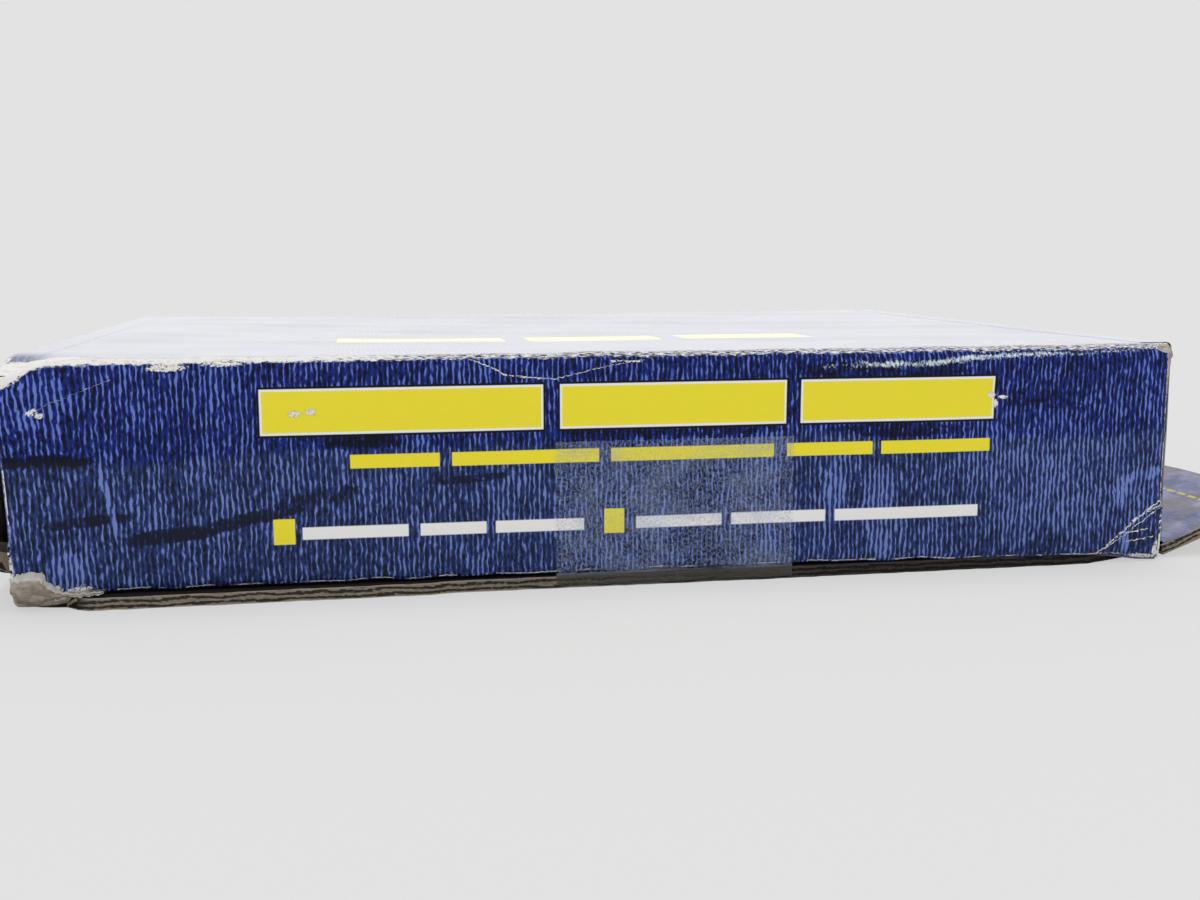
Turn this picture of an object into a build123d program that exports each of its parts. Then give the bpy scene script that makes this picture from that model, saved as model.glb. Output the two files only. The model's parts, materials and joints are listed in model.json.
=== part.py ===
"""A worn corrugated-board carton that lies on its large face.

X runs along its length, Y from its front to its back and Z up. The origin is the middle of the bottom face.
The carton is a sleeve of four panels, open at both ends. Each end is closed by a flap that folds down from
the top panel: the left one has its tuck flap folded in and stands a little ajar, the right one has its tuck
flap out, splayed away from the carton. A strip of clear tape mends the seam along the front lower edge.
"""

import os
from math import cos, radians, sin

from build123d import *

os.makedirs("parts", exist_ok=True)

# The sleeve, in millimetres
length = 254.0
depth = 203.0
height = 51.0
board = 2.6
fold_radius = 2.4
fold_inside_radius = 0.8
end_edge_radius = 1.6

# The seam along the front lower edge: the bottom panel's raw edge lies askew under the front panel
seam_setback = 3.6
lip_left = 2.6
lip_right = -1.8
lip_tear_x = -41.0
lip_tear = 0.8
lip_wear_length = 14.0
lip_wear_slope = 5.0
lip_wear_depth = 2.0
glue_tab_width = 22.0
glue_tab_setback = 17.0
glue_tab_taper = 14.0

# The lower left corner, where the layers are mashed into a lump that trails off along the seam
mash_length = 19.0
mash_thickness = 4.2
mash_height = 7.6
mash_floor_gap = 0.8
mash_tail = 1.6

# The dust flaps, folded into the two mouths from the front and the back panel
dust_length = 60.0
dust_low = 14.5
dust_top_gap = 1.2
dust_taper = 5.0
dust_corner_radius = 4.0

# The end flaps, hinged along the short edges of the top panel
running_gap = 0.3
flap_side_inset = 5.0
left_flap_ajar = 6.0

# The left tuck flap, creased past square so that it swings clear of the bottom panel
left_tuck_length = 34.0
left_tuck_rise = 24.0
left_tuck_floor_gap = 0.6
left_torn_width = 16.0
left_torn_height = 8.0

# The right tuck flap, folded outwards about the print side of its crease
right_tuck_length = 34.0
right_tuck_rise = 18.0
right_tuck_crease_height = 3.0
crease_bead_radius = 0.6

# The outline that both tuck flaps share: their sides draw in, and their far corners are round
tuck_taper = 3.0
tuck_corner_radius = 9.0

# The wavy paper between the board's two face papers, open to view along the free edges of the tuck flaps
flute_pitch = 6.4
flute_width = 4.6
flute_depth = 4.0
face_paper = 0.35
flute_paper = 0.5

# The tape over the seam
tape_thickness = 0.12
tape_left = -15.5
tape_width = 53.0
tape_top = 32.0
tape_under = 40.0
tape_recess = 0.2

# Places worked out from the sizes above
end_x = length / 2
front = -depth / 2
back = depth / 2
hinge_x = end_x + running_gap + board / 2
hinge_z = height - board / 2
flap_width = depth - 2 * flap_side_inset
flute_height = board - 2 * face_paper - flute_paper
flute_count = int((flap_width - 2 * tuck_taper - 2 * tuck_corner_radius) / flute_pitch)


def lip_edge(x):
    """How far the bottom panel's raw edge stands out in front of the front panel, before its tear."""
    return lip_left + (lip_right - lip_left) * (x + end_x) / length


def tuck_corners(reach):
    """The corners of a tuck flap: its root along local Y, its sides drawn in towards the free edge."""
    half = flap_width / 2
    return (0, -half), (reach, tuck_taper - half), (reach, half - tuck_taper), (0, half)


# The hollows of the wavy paper, as a cut edge shows them: against the one face paper and the other by turns
with BuildSketch() as flute_hollow:
    hollow_seat = face_paper - board / 2
    with BuildLine():
        chord = Line((-flute_width / 2, hollow_seat), (flute_width / 2, hollow_seat))
        ThreePointArc(chord @ 0, (0, hollow_seat + flute_height), chord @ 1)
    make_face()

with BuildSketch() as open_flutes:
    with GridLocations(flute_pitch, 1, flute_count, 1):
        add(flute_hollow.sketch)
    with GridLocations(flute_pitch, 1, flute_count - 1, 1):
        add(flute_hollow.sketch, rotation=180)


# The sleeve: four panels, the glue tab and the dust flaps, folded from one sheet
with BuildPart() as carton_sleeve:
    with BuildSketch(Plane.YZ) as wrap:
        with BuildLine():
            Polyline(
                (front + seam_setback, 0),
                (back, 0),
                (back, height),
                (front, height),
                (front, board),
                (front + seam_setback, board),
                close=True,
            )
        make_face()
        fillet(wrap.vertices().filter_by(lambda corner: abs(corner.X) > back - board / 2), fold_radius)
        with Locations((0, height / 2)):
            RectangleRounded(depth - 2 * board, height - 2 * board, fold_inside_radius, mode=Mode.SUBTRACT)
    extrude(amount=end_x, both=True)

    # The bottom panel's raw front edge, worn away at its left end, with a small tear where it steps back
    worn_end = lip_wear_length - end_x
    with BuildSketch(Plane.XY):
        with BuildLine():
            Polyline(
                (-end_x, front + seam_setback + board),
                (-end_x, front + lip_wear_depth),
                (worn_end - lip_wear_slope, front + lip_wear_depth),
                (worn_end, front - lip_edge(worn_end)),
                (lip_tear_x, front - lip_edge(lip_tear_x)),
                (lip_tear_x + board, front - lip_edge(lip_tear_x) + lip_tear),
                (end_x, front - lip_right),
                (end_x, front + seam_setback + board),
                close=True,
            )
        make_face()
    extrude(amount=board)

    # The glue tab, turned in from the front panel's lower edge on to the bottom panel
    with BuildSketch(Plane.XY.offset(board)):
        tab_end = end_x - glue_tab_setback
        tab_root = front + board / 2
        tab_edge = front + board + glue_tab_width
        with BuildLine():
            Polyline(
                (-tab_end, tab_root),
                (tab_end, tab_root),
                (tab_end - glue_tab_taper, tab_edge),
                (glue_tab_taper - tab_end, tab_edge),
                close=True,
            )
        make_face()
    extrude(amount=board)

    # The dust flaps, drawn at the right mouth's front corner and repeated at the other three
    for mouth in (end_x - board, -end_x):
        for side in (-1, 1):
            with BuildSketch(Plane.YZ.offset(mouth)) as dust:
                root = side * (back - board / 2)
                tip = side * (back - dust_length)
                dust_high = height - board - dust_top_gap
                with BuildLine():
                    Polyline(
                        (root, dust_low),
                        (tip, dust_low + dust_taper),
                        (tip, dust_high - dust_taper),
                        (root, dust_high),
                        close=True,
                    )
                make_face()
                tips = dust.vertices().filter_by(lambda corner: abs(corner.X) < back - dust_length / 2)
                fillet(tips, dust_corner_radius)
            extrude(amount=board)

    # The worn vertical edges at the two mouths
    with BuildSketch(Plane.XY.offset(board)):
        with GridLocations(length - end_edge_radius, depth - end_edge_radius, 2, 2):
            Rectangle(end_edge_radius, end_edge_radius)
        with GridLocations(length - 2 * end_edge_radius, depth - 2 * end_edge_radius, 2, 2):
            Circle(end_edge_radius, mode=Mode.SUBTRACT)
    extrude(amount=height, mode=Mode.SUBTRACT)

    # The mashed lower left corner, on the outside of the front panel's edge
    with BuildSketch(Plane.YZ.offset(-end_x)):
        with Locations((front, mash_floor_gap + mash_height / 2)):
            Ellipse(mash_thickness / 2, mash_height / 2)
    with BuildSketch(Plane.YZ.offset(mash_length - end_x)):
        with Locations((front, board + mash_tail)):
            Circle(mash_tail / 2)
    loft()

    # The shallow bed that the tape is pressed into underneath
    with BuildSketch(Plane.XY):
        with Locations((tape_left + tape_width / 2, front + tape_under / 2 - lip_left / 2)):
            Rectangle(tape_width, tape_under + lip_left)
    extrude(amount=tape_recess, mode=Mode.SUBTRACT)

carton_sleeve.part.label = "carton_sleeve"
export_step(carton_sleeve.part, "parts/carton_sleeve.step")


# The right end flap hangs straight down, from a round root on the hinge line to its crease
crease_x = hinge_x + board / 2
right_flap_drop = hinge_z - right_tuck_crease_height - crease_bead_radius - running_gap

with BuildPart() as right_end_flap:
    with BuildSketch(Plane(origin=(hinge_x, 0, hinge_z), x_dir=(1, 0, 0), z_dir=(0, -1, 0))):
        Circle(board / 2)
        with Locations((0, -right_flap_drop / 2)):
            Rectangle(board, right_flap_drop)
    extrude(amount=flap_width / 2, both=True)

right_end_flap.part.label = "right_end_flap"
export_step(right_end_flap.part, "parts/right_end_flap.step")


# The right tuck flap lies outwards from the crease, print side up, with a bead along the crease
rise = radians(right_tuck_rise)
tuck_top = Plane(
    origin=(crease_x, 0, right_tuck_crease_height),
    x_dir=(cos(rise), 0, sin(rise)),
    z_dir=(-sin(rise), 0, cos(rise)),
)

with BuildPart() as right_tuck_flap:
    with BuildSketch(tuck_top) as right_outline:
        Polygon(*tuck_corners(right_tuck_length), align=None)
        far_corners = right_outline.vertices().filter_by(lambda corner: corner.X > right_tuck_length / 2)
        fillet(far_corners, tuck_corner_radius)
    extrude(amount=-board)
    with BuildSketch(Plane.XZ):
        with Locations((crease_x, right_tuck_crease_height)):
            Circle(crease_bead_radius)
    extrude(amount=flap_width / 2, both=True)
    right_edge_middle = tuck_top.from_local_coords((right_tuck_length, 0, -board / 2))
    with BuildSketch(Plane(origin=right_edge_middle, x_dir=(0, 1, 0), z_dir=tuck_top.x_dir)):
        add(open_flutes.sketch)
    extrude(amount=-flute_depth, mode=Mode.SUBTRACT)

right_tuck_flap.part.label = "right_tuck_flap"
export_step(right_tuck_flap.part, "parts/right_tuck_flap.step")


# The left end flap leans out by its ajar angle, and its tuck flap turns in at the lower fold
ajar = radians(left_flap_ajar)
left_hang = Plane(
    origin=(-hinge_x, 0, hinge_z),
    x_dir=(-cos(ajar), 0, sin(ajar)),
    z_dir=(0, 1, 0),
)
left_flap_drop = hinge_z - board - left_tuck_floor_gap - board / 2
left_fold = left_hang.from_local_coords((0, -left_flap_drop, 0))
tuck_lean = radians(left_tuck_rise - left_flap_ajar)
left_tuck_middle = Plane(
    origin=left_fold,
    x_dir=(cos(tuck_lean), 0, sin(tuck_lean)),
    z_dir=(-sin(tuck_lean), 0, cos(tuck_lean)),
)

with BuildPart() as left_end_flap:
    with BuildSketch(left_hang):
        Circle(board / 2)
        with Locations((0, -left_flap_drop / 2)):
            Rectangle(board, left_flap_drop)
        with Locations((0, -left_flap_drop)):
            Circle(board / 2)
    extrude(amount=flap_width / 2, both=True)
    with BuildSketch(left_tuck_middle) as left_outline:
        Polygon(*tuck_corners(left_tuck_length), align=None)
        far_corners = left_outline.vertices().filter_by(lambda corner: corner.X > left_tuck_length / 2)
        fillet(far_corners, tuck_corner_radius)
    extrude(amount=board / 2, both=True)
    left_edge_middle = left_tuck_middle.from_local_coords((left_tuck_length, 0, 0))
    with BuildSketch(Plane(origin=left_edge_middle, x_dir=(0, 1, 0), z_dir=left_tuck_middle.x_dir)):
        add(open_flutes.sketch)
    extrude(amount=-flute_depth, mode=Mode.SUBTRACT)

    # The lower front corner is torn off across the fold
    with BuildSketch(Plane(origin=left_fold, x_dir=(0, -1, 0), z_dir=left_hang.x_dir)):
        Polygon(
            (flap_width / 2, left_torn_height),
            (flap_width / 2 - left_torn_width, -board),
            (flap_width / 2, -board),
            align=None,
        )
    extrude(amount=board, both=True, mode=Mode.SUBTRACT)

left_end_flap.part.label = "left_end_flap"
export_step(left_end_flap.part, "parts/left_end_flap.step")


# The tape runs down the front panel, bridges the seam and goes on under the bottom panel
tape_bend = board + fold_radius
tape_lip = front - lip_edge(tape_left)

with BuildPart() as clear_tape:
    with BuildSketch(Plane.YZ.offset(tape_left)):
        with BuildLine():
            Polyline(
                (front, tape_top),
                (front - tape_thickness, tape_top),
                (front - tape_thickness, tape_bend),
                (tape_lip - tape_thickness, tape_recess - tape_thickness),
                (front + tape_under, tape_recess - tape_thickness),
                (front + tape_under, tape_recess),
                (tape_lip, tape_recess),
                (front, tape_bend),
                close=True,
            )
        make_face()
    extrude(amount=tape_width)

clear_tape.part.label = "clear_tape"
export_step(clear_tape.part, "parts/clear_tape.step")
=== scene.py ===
# %% [markdown]
# A worn carton of corrugated board with a blue denim print, lying on its large face. This lesson dresses the
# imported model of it: the sizes, hinges and bodies come from the frame, and every surface is made here. Each
# cell makes one thing, and prints what it made.

# %% Load the frame
import functools
import json
import math

import bmesh
import bpy
import numpy as np
from mathutils import Euler, Matrix, Quaternion, Vector


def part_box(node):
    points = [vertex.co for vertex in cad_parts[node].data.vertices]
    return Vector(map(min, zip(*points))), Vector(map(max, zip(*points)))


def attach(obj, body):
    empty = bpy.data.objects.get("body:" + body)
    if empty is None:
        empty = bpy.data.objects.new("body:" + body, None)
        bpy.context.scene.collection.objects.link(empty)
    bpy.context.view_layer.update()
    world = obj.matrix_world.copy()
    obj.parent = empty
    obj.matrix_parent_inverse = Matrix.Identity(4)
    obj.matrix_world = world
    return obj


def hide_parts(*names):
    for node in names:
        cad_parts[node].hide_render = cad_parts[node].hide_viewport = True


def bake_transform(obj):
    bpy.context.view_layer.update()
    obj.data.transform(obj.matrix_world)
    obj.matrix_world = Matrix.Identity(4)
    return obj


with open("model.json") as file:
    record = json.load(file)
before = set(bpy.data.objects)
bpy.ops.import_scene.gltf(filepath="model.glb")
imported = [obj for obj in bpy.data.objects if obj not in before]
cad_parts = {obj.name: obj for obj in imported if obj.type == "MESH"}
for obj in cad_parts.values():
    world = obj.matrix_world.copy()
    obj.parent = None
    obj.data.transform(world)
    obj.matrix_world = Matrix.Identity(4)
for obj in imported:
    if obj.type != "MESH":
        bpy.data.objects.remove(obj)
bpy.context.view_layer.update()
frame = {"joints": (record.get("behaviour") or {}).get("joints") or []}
bpy.ops.object.select_all(action="DESELECT")
bpy.context.scene.view_settings.view_transform = "Standard"

# %% [markdown]
# Sizes first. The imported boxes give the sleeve's length, depth and height and the thickness of the board, and
# the joints give the lines that the flaps turn about. Only what the frame can't say is written as a number,
# in millimetres.

# %% Sizes
MM = 0.001
joints = {joint["name"]: joint for joint in frame["joints"]}
sleeve_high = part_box("carton_sleeve")[1]
end_x, back, height = sleeve_high
front = -back
flap_low, flap_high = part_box("right_end_flap")
board = flap_high.x - flap_low.x
flap_half = flap_high.y
hinge = Vector(joints["right_flap_hinge"]["pos_m"])
crease = Vector(joints["right_tuck_hinge"]["pos_m"])
fold_radius = board + 0.1 * MM
FRONT, BACK, TOP = front / MM, back / MM, height / MM
END, BOARD = end_x / MM, board / MM
print(f"sleeve {2e3 * end_x:.0f} x {2e3 * back:.0f} x {1e3 * height:.0f} mm, board {1e3 * board:.1f} mm")

# %% [markdown]
# The camera stands where the photo was taken: a little left of the middle, a hand's breadth above the table,
# turned to the right and tipped down. Its place and angles were worked out from the corners of the front
# panel. Turning it by hand until the picture fits would also do, but numbers can be checked.

# %% Camera
PHOTO_WIDTH = 1200
FOCAL_PIXELS = 1392
camera_place = Vector((-55.4 * MM, front - 292.3 * MM, 71.9 * MM))
camera_yaw = math.radians(9.62)
camera_tip = math.radians(8.04)
camera_roll = math.radians(-0.18)
camera_data = bpy.data.cameras.new("photo_camera")
camera_data.sensor_width = 36.0
camera_data.lens = camera_data.sensor_width * FOCAL_PIXELS / PHOTO_WIDTH
camera = bpy.data.objects.new("photo_camera", camera_data)
bpy.context.scene.collection.objects.link(camera)
camera.location = camera_place
camera.rotation_mode = "QUATERNION"
aim = Euler((math.pi / 2 - camera_tip, 0, -camera_yaw)).to_quaternion()
camera.rotation_quaternion = aim @ Quaternion((0, 0, 1), camera_roll)
camera_data.clip_start = 0.01
bpy.context.scene.camera = camera
print("camera at", tuple(round(1e3 * c) for c in camera_place), "mm")

# %% [markdown]
# A few tools of the modelling bench. Pieces are made with Blender's operators, which act on what is selected,
# so `start` adds a primitive with nothing else selected, and `pick` selects by a test on each vertex, edge or
# face. `slice_up` cuts a piece across one axis, so that it has points enough to bend. By hand this is done
# with the mouse, but a test still finds the right edges when a size changes.

# %% Picking and cutting


def start(name, add, **settings):
    """Adds a primitive, with nothing else selected, and names it."""
    bpy.ops.object.select_all(action="DESELECT")
    add(**settings)
    piece = bpy.context.object
    piece.name = name
    return piece


def set_size(piece, size):
    """Scales a new primitive, and makes its size and place its mesh's own."""
    piece.scale = size
    bpy.ops.object.transform_apply(location=True, scale=True)


def only(piece):
    """Makes one piece the only selected one, and the active one."""
    bpy.ops.object.select_all(action="DESELECT")
    piece.select_set(True)
    bpy.context.view_layer.objects.active = piece


def done():
    """Closes the piece that is being edited."""
    bpy.ops.object.mode_set(mode="OBJECT")


def edit(piece):
    """Makes one piece the only selected one and opens it for editing."""
    if bpy.context.object and bpy.context.object.mode != "OBJECT":
        done()
    only(piece)
    bpy.ops.object.mode_set(mode="EDIT")


def middle(element):
    """The middle of a vertex, an edge or a face."""
    if isinstance(element, bmesh.types.BMVert):
        return element.co
    return sum((corner.co for corner in element.verts), Vector()) / len(element.verts)


def pick(piece, kind, test):
    """Selects the vertices, edges or faces that pass a test, and returns how many did."""
    edit(piece)
    bpy.ops.mesh.select_mode(type=kind)
    bpy.ops.mesh.select_all(action="DESELECT")
    shape = bmesh.from_edit_mesh(piece.data)
    elements = {"VERT": shape.verts, "EDGE": shape.edges, "FACE": shape.faces}[kind]
    chosen = [element for element in elements if test(element)]
    for element in chosen:
        element.select_set(True)
    bmesh.update_edit_mesh(piece.data)
    return len(chosen)


def slice_up(piece, axis, places):
    """Cuts the whole piece with planes across one axis."""
    edit(piece)
    across = [1.0 if k == axis else 0.0 for k in range(3)]
    for place in places:
        bpy.ops.mesh.select_all(action="SELECT")
        bpy.ops.mesh.bisect(plane_co=[place * k for k in across], plane_no=across)
    done()


def spread(low, high, step):
    """Places between two limits, a step apart."""
    count = max(1, round((high - low) / step))
    return [low + (high - low) * k / count for k in range(1, count)]


print("picking and cutting tools ready")

# %% [markdown]
# Paper and board bend, so the other half of the bench is for that: `bend` moves every point by a formula, as
# fingers would press it, and `ripple` is the uneven wave that worn board has. `lay_print` notes each point's
# place on the flat sheet, and `give_through` its depth in the board, for the finishes to use. Blender's own
# Bend tool needs a window, and its modifiers know only simple curves.

# %% Bending and finishing


def bend(piece, formula):
    """Moves every point of a piece by a formula on arrays of x, y and z in millimetres."""
    flat = np.empty(len(piece.data.vertices) * 3)
    piece.data.vertices.foreach_get("co", flat)
    x, y, z = flat.reshape(-1, 3).T / MM
    moved = np.stack(formula(x, y, z), axis=1) * MM
    piece.data.vertices.foreach_set("co", moved.ravel())
    piece.data.update()


def step_up(value, low, high):
    """0 below low, 1 above high and a smooth step between; reversed where low is above high."""
    t = np.clip((value - low) / (high - low), 0, 1)
    return t * t * (3 - 2 * t)


def ripple(a, b, length, seed):
    """A smooth, uneven wave over two coordinates, between about -1 and 1, with no pattern that repeats."""
    turns = math.tau / length
    first = np.sin(turns * (a + 0.37 * b) + seed) * np.cos(turns * (0.71 * b - 0.23 * a) + 2.1 * seed)
    second = np.sin(1.9 * turns * (0.83 * a - 0.52 * b) + 3.7 * seed)
    third = np.sin(3.3 * turns * (0.29 * a + 0.96 * b) + 5.3 * seed)
    return 0.55 * first + 0.3 * second + 0.15 * third


def lay_print(piece, place):
    """Gives a piece the flat sheet's coordinates, in metres, as a UV map named sheet."""
    layer = piece.data.uv_layers.new(name="sheet")
    for face in piece.data.polygons:
        for loop in face.loop_indices:
            spot = piece.data.vertices[piece.data.loops[loop].vertex_index].co
            layer.data[loop].uv = place(spot, face.normal)


def give_through(piece, depth_of):
    """Notes how deep in the board each point lies, from 0 at the print to 1 at the inside."""
    depths = [min(1.0, max(0.0, depth_of(vertex))) for vertex in piece.data.vertices]
    piece.data.attributes.new("through", "FLOAT", "POINT").data.foreach_set("value", depths)


def apply_modifier(piece, kind, **settings):
    """Adds a modifier, sets it and applies it."""
    only(piece)
    modifier = piece.modifiers.new(kind.lower(), kind)
    for name, value in settings.items():
        setattr(modifier, name, value)
    bpy.ops.object.modifier_apply(modifier=modifier.name)


def smooth_faces(piece, angle=35):
    """Shades a piece smooth, apart from edges sharper than an angle."""
    only(piece)
    bpy.ops.object.shade_smooth_by_angle(angle=math.radians(angle))


print("bending tools ready")


# %% [markdown]
# Shader arithmetic. Wear, ink and dirt are masks, and masks are sums and products of noise and distances.
# Written as nodes by hand that would be hundreds of boxes, so one small class wraps a socket: an expression
# on it adds the Math nodes behind it, and a step or a band is one call.

# %% Shader arithmetic


class Sock:
    """An output socket of a material. Arithmetic on it adds Math nodes."""

    def __init__(self, finish, socket):
        self.finish = finish
        self.socket = socket

    def math(self, operation, *others):
        values = dict(enumerate((self, *others)))
        return self.finish.node("ShaderNodeMath", {"operation": operation}, values)

    def __add__(self, other):
        return self.math("ADD", other)

    def __mul__(self, other):
        return self.math("MULTIPLY", other)

    def __sub__(self, other):
        return self.math("SUBTRACT", other)

    def __rsub__(self, other):
        return (self * -1) + other

    def __truediv__(self, other):
        return self.math("DIVIDE", other)

    def __abs__(self):
        return self.math("ABSOLUTE")

    __radd__ = __add__
    __rmul__ = __mul__

    def least(self, other):
        return self.math("MINIMUM", other)

    def most(self, other):
        return self.math("MAXIMUM", other)

    def rise(self, low, high):
        """0 below low, 1 above high and smooth between; falls instead where low is above high."""
        up = low < high
        values = {"Value": self, "From Min": min(low, high), "From Max": max(low, high)}
        values.update({"To Min": 0.0 if up else 1.0, "To Max": 1.0 if up else 0.0})
        return self.finish.node("ShaderNodeMapRange", {"interpolation_type": "SMOOTHSTEP"}, values)

    def within(self, low, high, soft):
        """1 between two limits, with soft edges."""
        return self.rise(low - soft, low + soft) * self.rise(high + soft, high - soft)


print("shader arithmetic ready")

# %% [markdown]
# `Finish` holds one material. Its `node` method adds any other node, and the methods below it name the few
# that this carton needs: a place, a noise, a mix of two colours, a bump. Every material then reads as a
# recipe, where a node group would hide it.

# %% Materials


class Finish:
    """A material made of nodes, ending in one Principled shader."""

    def __init__(self, name):
        self.material = bpy.data.materials.new(name)
        self.material.use_nodes = True
        self.tree = self.material.node_tree
        self.shader = self.tree.nodes["Principled BSDF"]

    def connect(self, socket, value):
        """Links a socket, or sets its value."""
        if isinstance(value, Sock):
            self.tree.links.new(value.socket, socket)
        elif isinstance(value, tuple) and len(value) == 3 and socket.type == "RGBA":
            socket.default_value = (*value, 1.0)
        else:
            socket.default_value = value

    def node(self, kind, settings=None, values=None, output=0):
        """Adds a node: its type, its settings, then the values or links of its sockets."""
        made = self.tree.nodes.new(kind)
        for name, value in (settings or {}).items():
            setattr(made, name, value)
        for key, value in (values or {}).items():
            self.connect(made.inputs[key], value)
        return Sock(self, made.outputs[output])

    def surface(self, **values):
        """Sets the shader's sockets, named with underscores for spaces."""
        for name, value in values.items():
            self.connect(self.shader.inputs[name.replace("_", " ")], value)

    def split(self, vector):
        """The x, y and z of a vector socket, in millimetres."""
        apart = self.node("ShaderNodeSeparateXYZ", None, {0: vector}).socket.node
        return [Sock(self, output) * 1000.0 for output in apart.outputs]

    def sheet_place(self):
        """The place on the flat sheet, across and along, in millimetres."""
        return self.split(self.node("ShaderNodeUVMap", {"uv_map": "sheet"}))[:2]

    def object_place(self):
        """The place in the object's own frame, in millimetres."""
        return self.split(self.node("ShaderNodeTexCoord", output=3))

    def noise(self, x, y, seed, detail=1.0, roughness=0.5):
        """Smooth noise between 0 and 1 over two coordinates: one bump for each unit."""
        spot = self.node("ShaderNodeCombineXYZ", None, {0: x, 1: y, 2: seed})
        values = {"Vector": spot, "Scale": 1.0, "Detail": detail, "Roughness": roughness}
        return self.node("ShaderNodeTexNoise", None, values)

    def mix(self, factor, first, second):
        """A colour between two others."""
        settings = {"data_type": "RGBA"}
        return self.node("ShaderNodeMix", settings, {0: factor, 6: first, 7: second}, output=2)

    def bump(self, depth, distance):
        """A normal that follows a height between 0 and 1."""
        return self.node("ShaderNodeBump", None, {"Height": depth, "Distance": distance, "Strength": 1.0})

    def paper(self, colour, roughness, relief, depth, gloss=0.15):
        """Makes the surface a dull paper with a relief, and returns the material."""
        normal = self.bump(relief, depth)
        self.surface(Base_Color=colour, Roughness=roughness, Specular_IOR_Level=gloss, Normal=normal)
        return self.material


def ink(red, green, blue):
    """A colour as it is read on a screen, from 0 to 255, as the shader's linear values."""
    return tuple(((c / 255 + 0.055) / 1.055) ** 2.4 if c > 10 else c / 3294.6 for c in (red, green, blue))


print("materials ready: a screen's middle grey is", round(ink(128, 128, 128)[0], 3), "in linear light")


# %% [markdown]
# The carton was printed flat, so everything on it has a place on the sheet, in millimetres: across from the
# middle, and up from the lower front edge, over the fold and on over the top. Bars, smudges, creases and
# scuffs are lists of such places. They could be painted on a picture, but a list stays sharp and can be put
# right.

# %% Places on the sheet
SHEET_BACK = TOP + 2 * BACK
FLAP_CREASE = END + (hinge.z - crease.z) / MM

# Bars: their two ends across, and the row along the sheet that they stand in
tall_bars = [(-76.5, -18.5), (-14.0, 35.2), (39.4, 83.6)]
slim_bars = [(-58.8, -40.2), (-37.6, -6.0), (-3.4, 33.0), (36.0, 55.6), (57.6, 83.4)]
white_bars = [(-69.0, -47.0), (-44.5, -30.5), (-28.5, -9.4), (2.0, 21.2), (23.4, 45.0), (47.2, 81.0)]
squares = [(-74.9, -70.5), (-5.0, -0.6)]
top_bars = [(-62.0, -20.0), (-14.0, 20.0), (26.0, 60.0)]
TALL_ROW = (35.3, 43.9)
SLIM_ROW = (27.5, 30.4)
WHITE_ROW = (12.7, 15.3)
SQUARE_ROW = (11.8, 17.2)
TOP_ROW = (TOP + 56, TOP + 74)

# Smudges in the scan of the cloth: middle, half width, half height, climb and strength
dark_smudges = [
    (-118.7, 30.5, 10.0, 1.7, 0.0, 0.85),
    (-112, 18.0, 9, 1.3, 0.09, 0.8),
    (-95, 14.6, 10, 1.7, 0.1, 1.0),
    (-79, 17.6, 12, 1.7, 0.2, 0.8),
    (-66, 21.6, 9, 1.7, 0.16, 0.6),
    (-57, 33.6, 9, 2.6, 0.0, 0.8),
    (-34, 24.6, 9, 1.0, 0.06, 0.8),
    (96, 38.5, 13, 3.0, -0.05, 0.4),
    (58, 46.2, 22, 2.4, 0.0, 0.6),
    (12, 34.0, 26, 2.0, 0.0, 0.6),
    (62, 32.8, 18, 1.8, 0.0, 0.6),
    (122.0, 7.6, 5.5, 3.4, 0.5, 0.5),
]
pale_smudges = [
    (-107.3, 21.2, 1.7, 3.6, -4.6, 1.0),
    (-121.0, 43.0, 7.5, 6.0, 0.0, 0.35),
    (100.0, 20.0, 26.0, 11.0, 0.0, 0.2),
    (-116, 8.0, 4.0, 4.0, 0.0, 0.5),
    (116.2, 17.0, 1.6, 4.2, 0.0, 0.95),
    (118.6, 20.4, 3.0, 1.4, 0.4, 0.8),
    (123.7, 21.2, 2.2, 1.6, 0.3, 0.9),
    (117.8, 6.4, 1.3, 3.0, -0.5, 0.85),
    (47, 19, 3.0, 7.0, 0.0, 0.5),
    (57, 17, 4.0, 8.0, 0.0, 0.5),
    (58, 8.0, 3.0, 4.0, -0.5, 0.5),
]
# Creases: two ends of a line, and its half width
creases = [
    (110.4, 3.1, 119.0, 9.8, 0.18),
    (119.0, 9.8, 126.4, 15.0, 0.24),
    (117.6, 8.0, 123.4, 9.0, 0.12),
    (121.4, 11.6, 126.4, 13.6, 0.15),
    (112.6, 4.6, 126.4, 13.2, 0.08),
    (118.0, 6.4, 125.0, 7.6, 0.1),
    (-119.7, 41.2, -106.0, 46.9, 0.03),
    (-33.4, 50.4, -25.5, 46.4, 0.12),
    (-25.5, 46.4, -16.0, 45.5, 0.16),
    (-16.0, 45.5, -6.0, 47.6, 0.12),
    (-6.0, 47.6, 4.0, 49.6, 0.06),
    (-3.0, 49.2, 3.5, 49.2, 0.2),
]
# Painted highlight where the rubbed varnish gleams: two ends of a line, and its strength
painted_gleam_lines = [
    (44.0, 47.0, 54.0, 47.6, 0.55),
    (54.0, 47.6, 69.0, 47.4, 0.9),
    (69.0, 47.4, 81.0, 49.0, 1.0),
    (81.0, 49.0, 100.0, 49.5, 0.9),
    (100.0, 49.5, 118.0, 50.0, 0.6),
]
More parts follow.
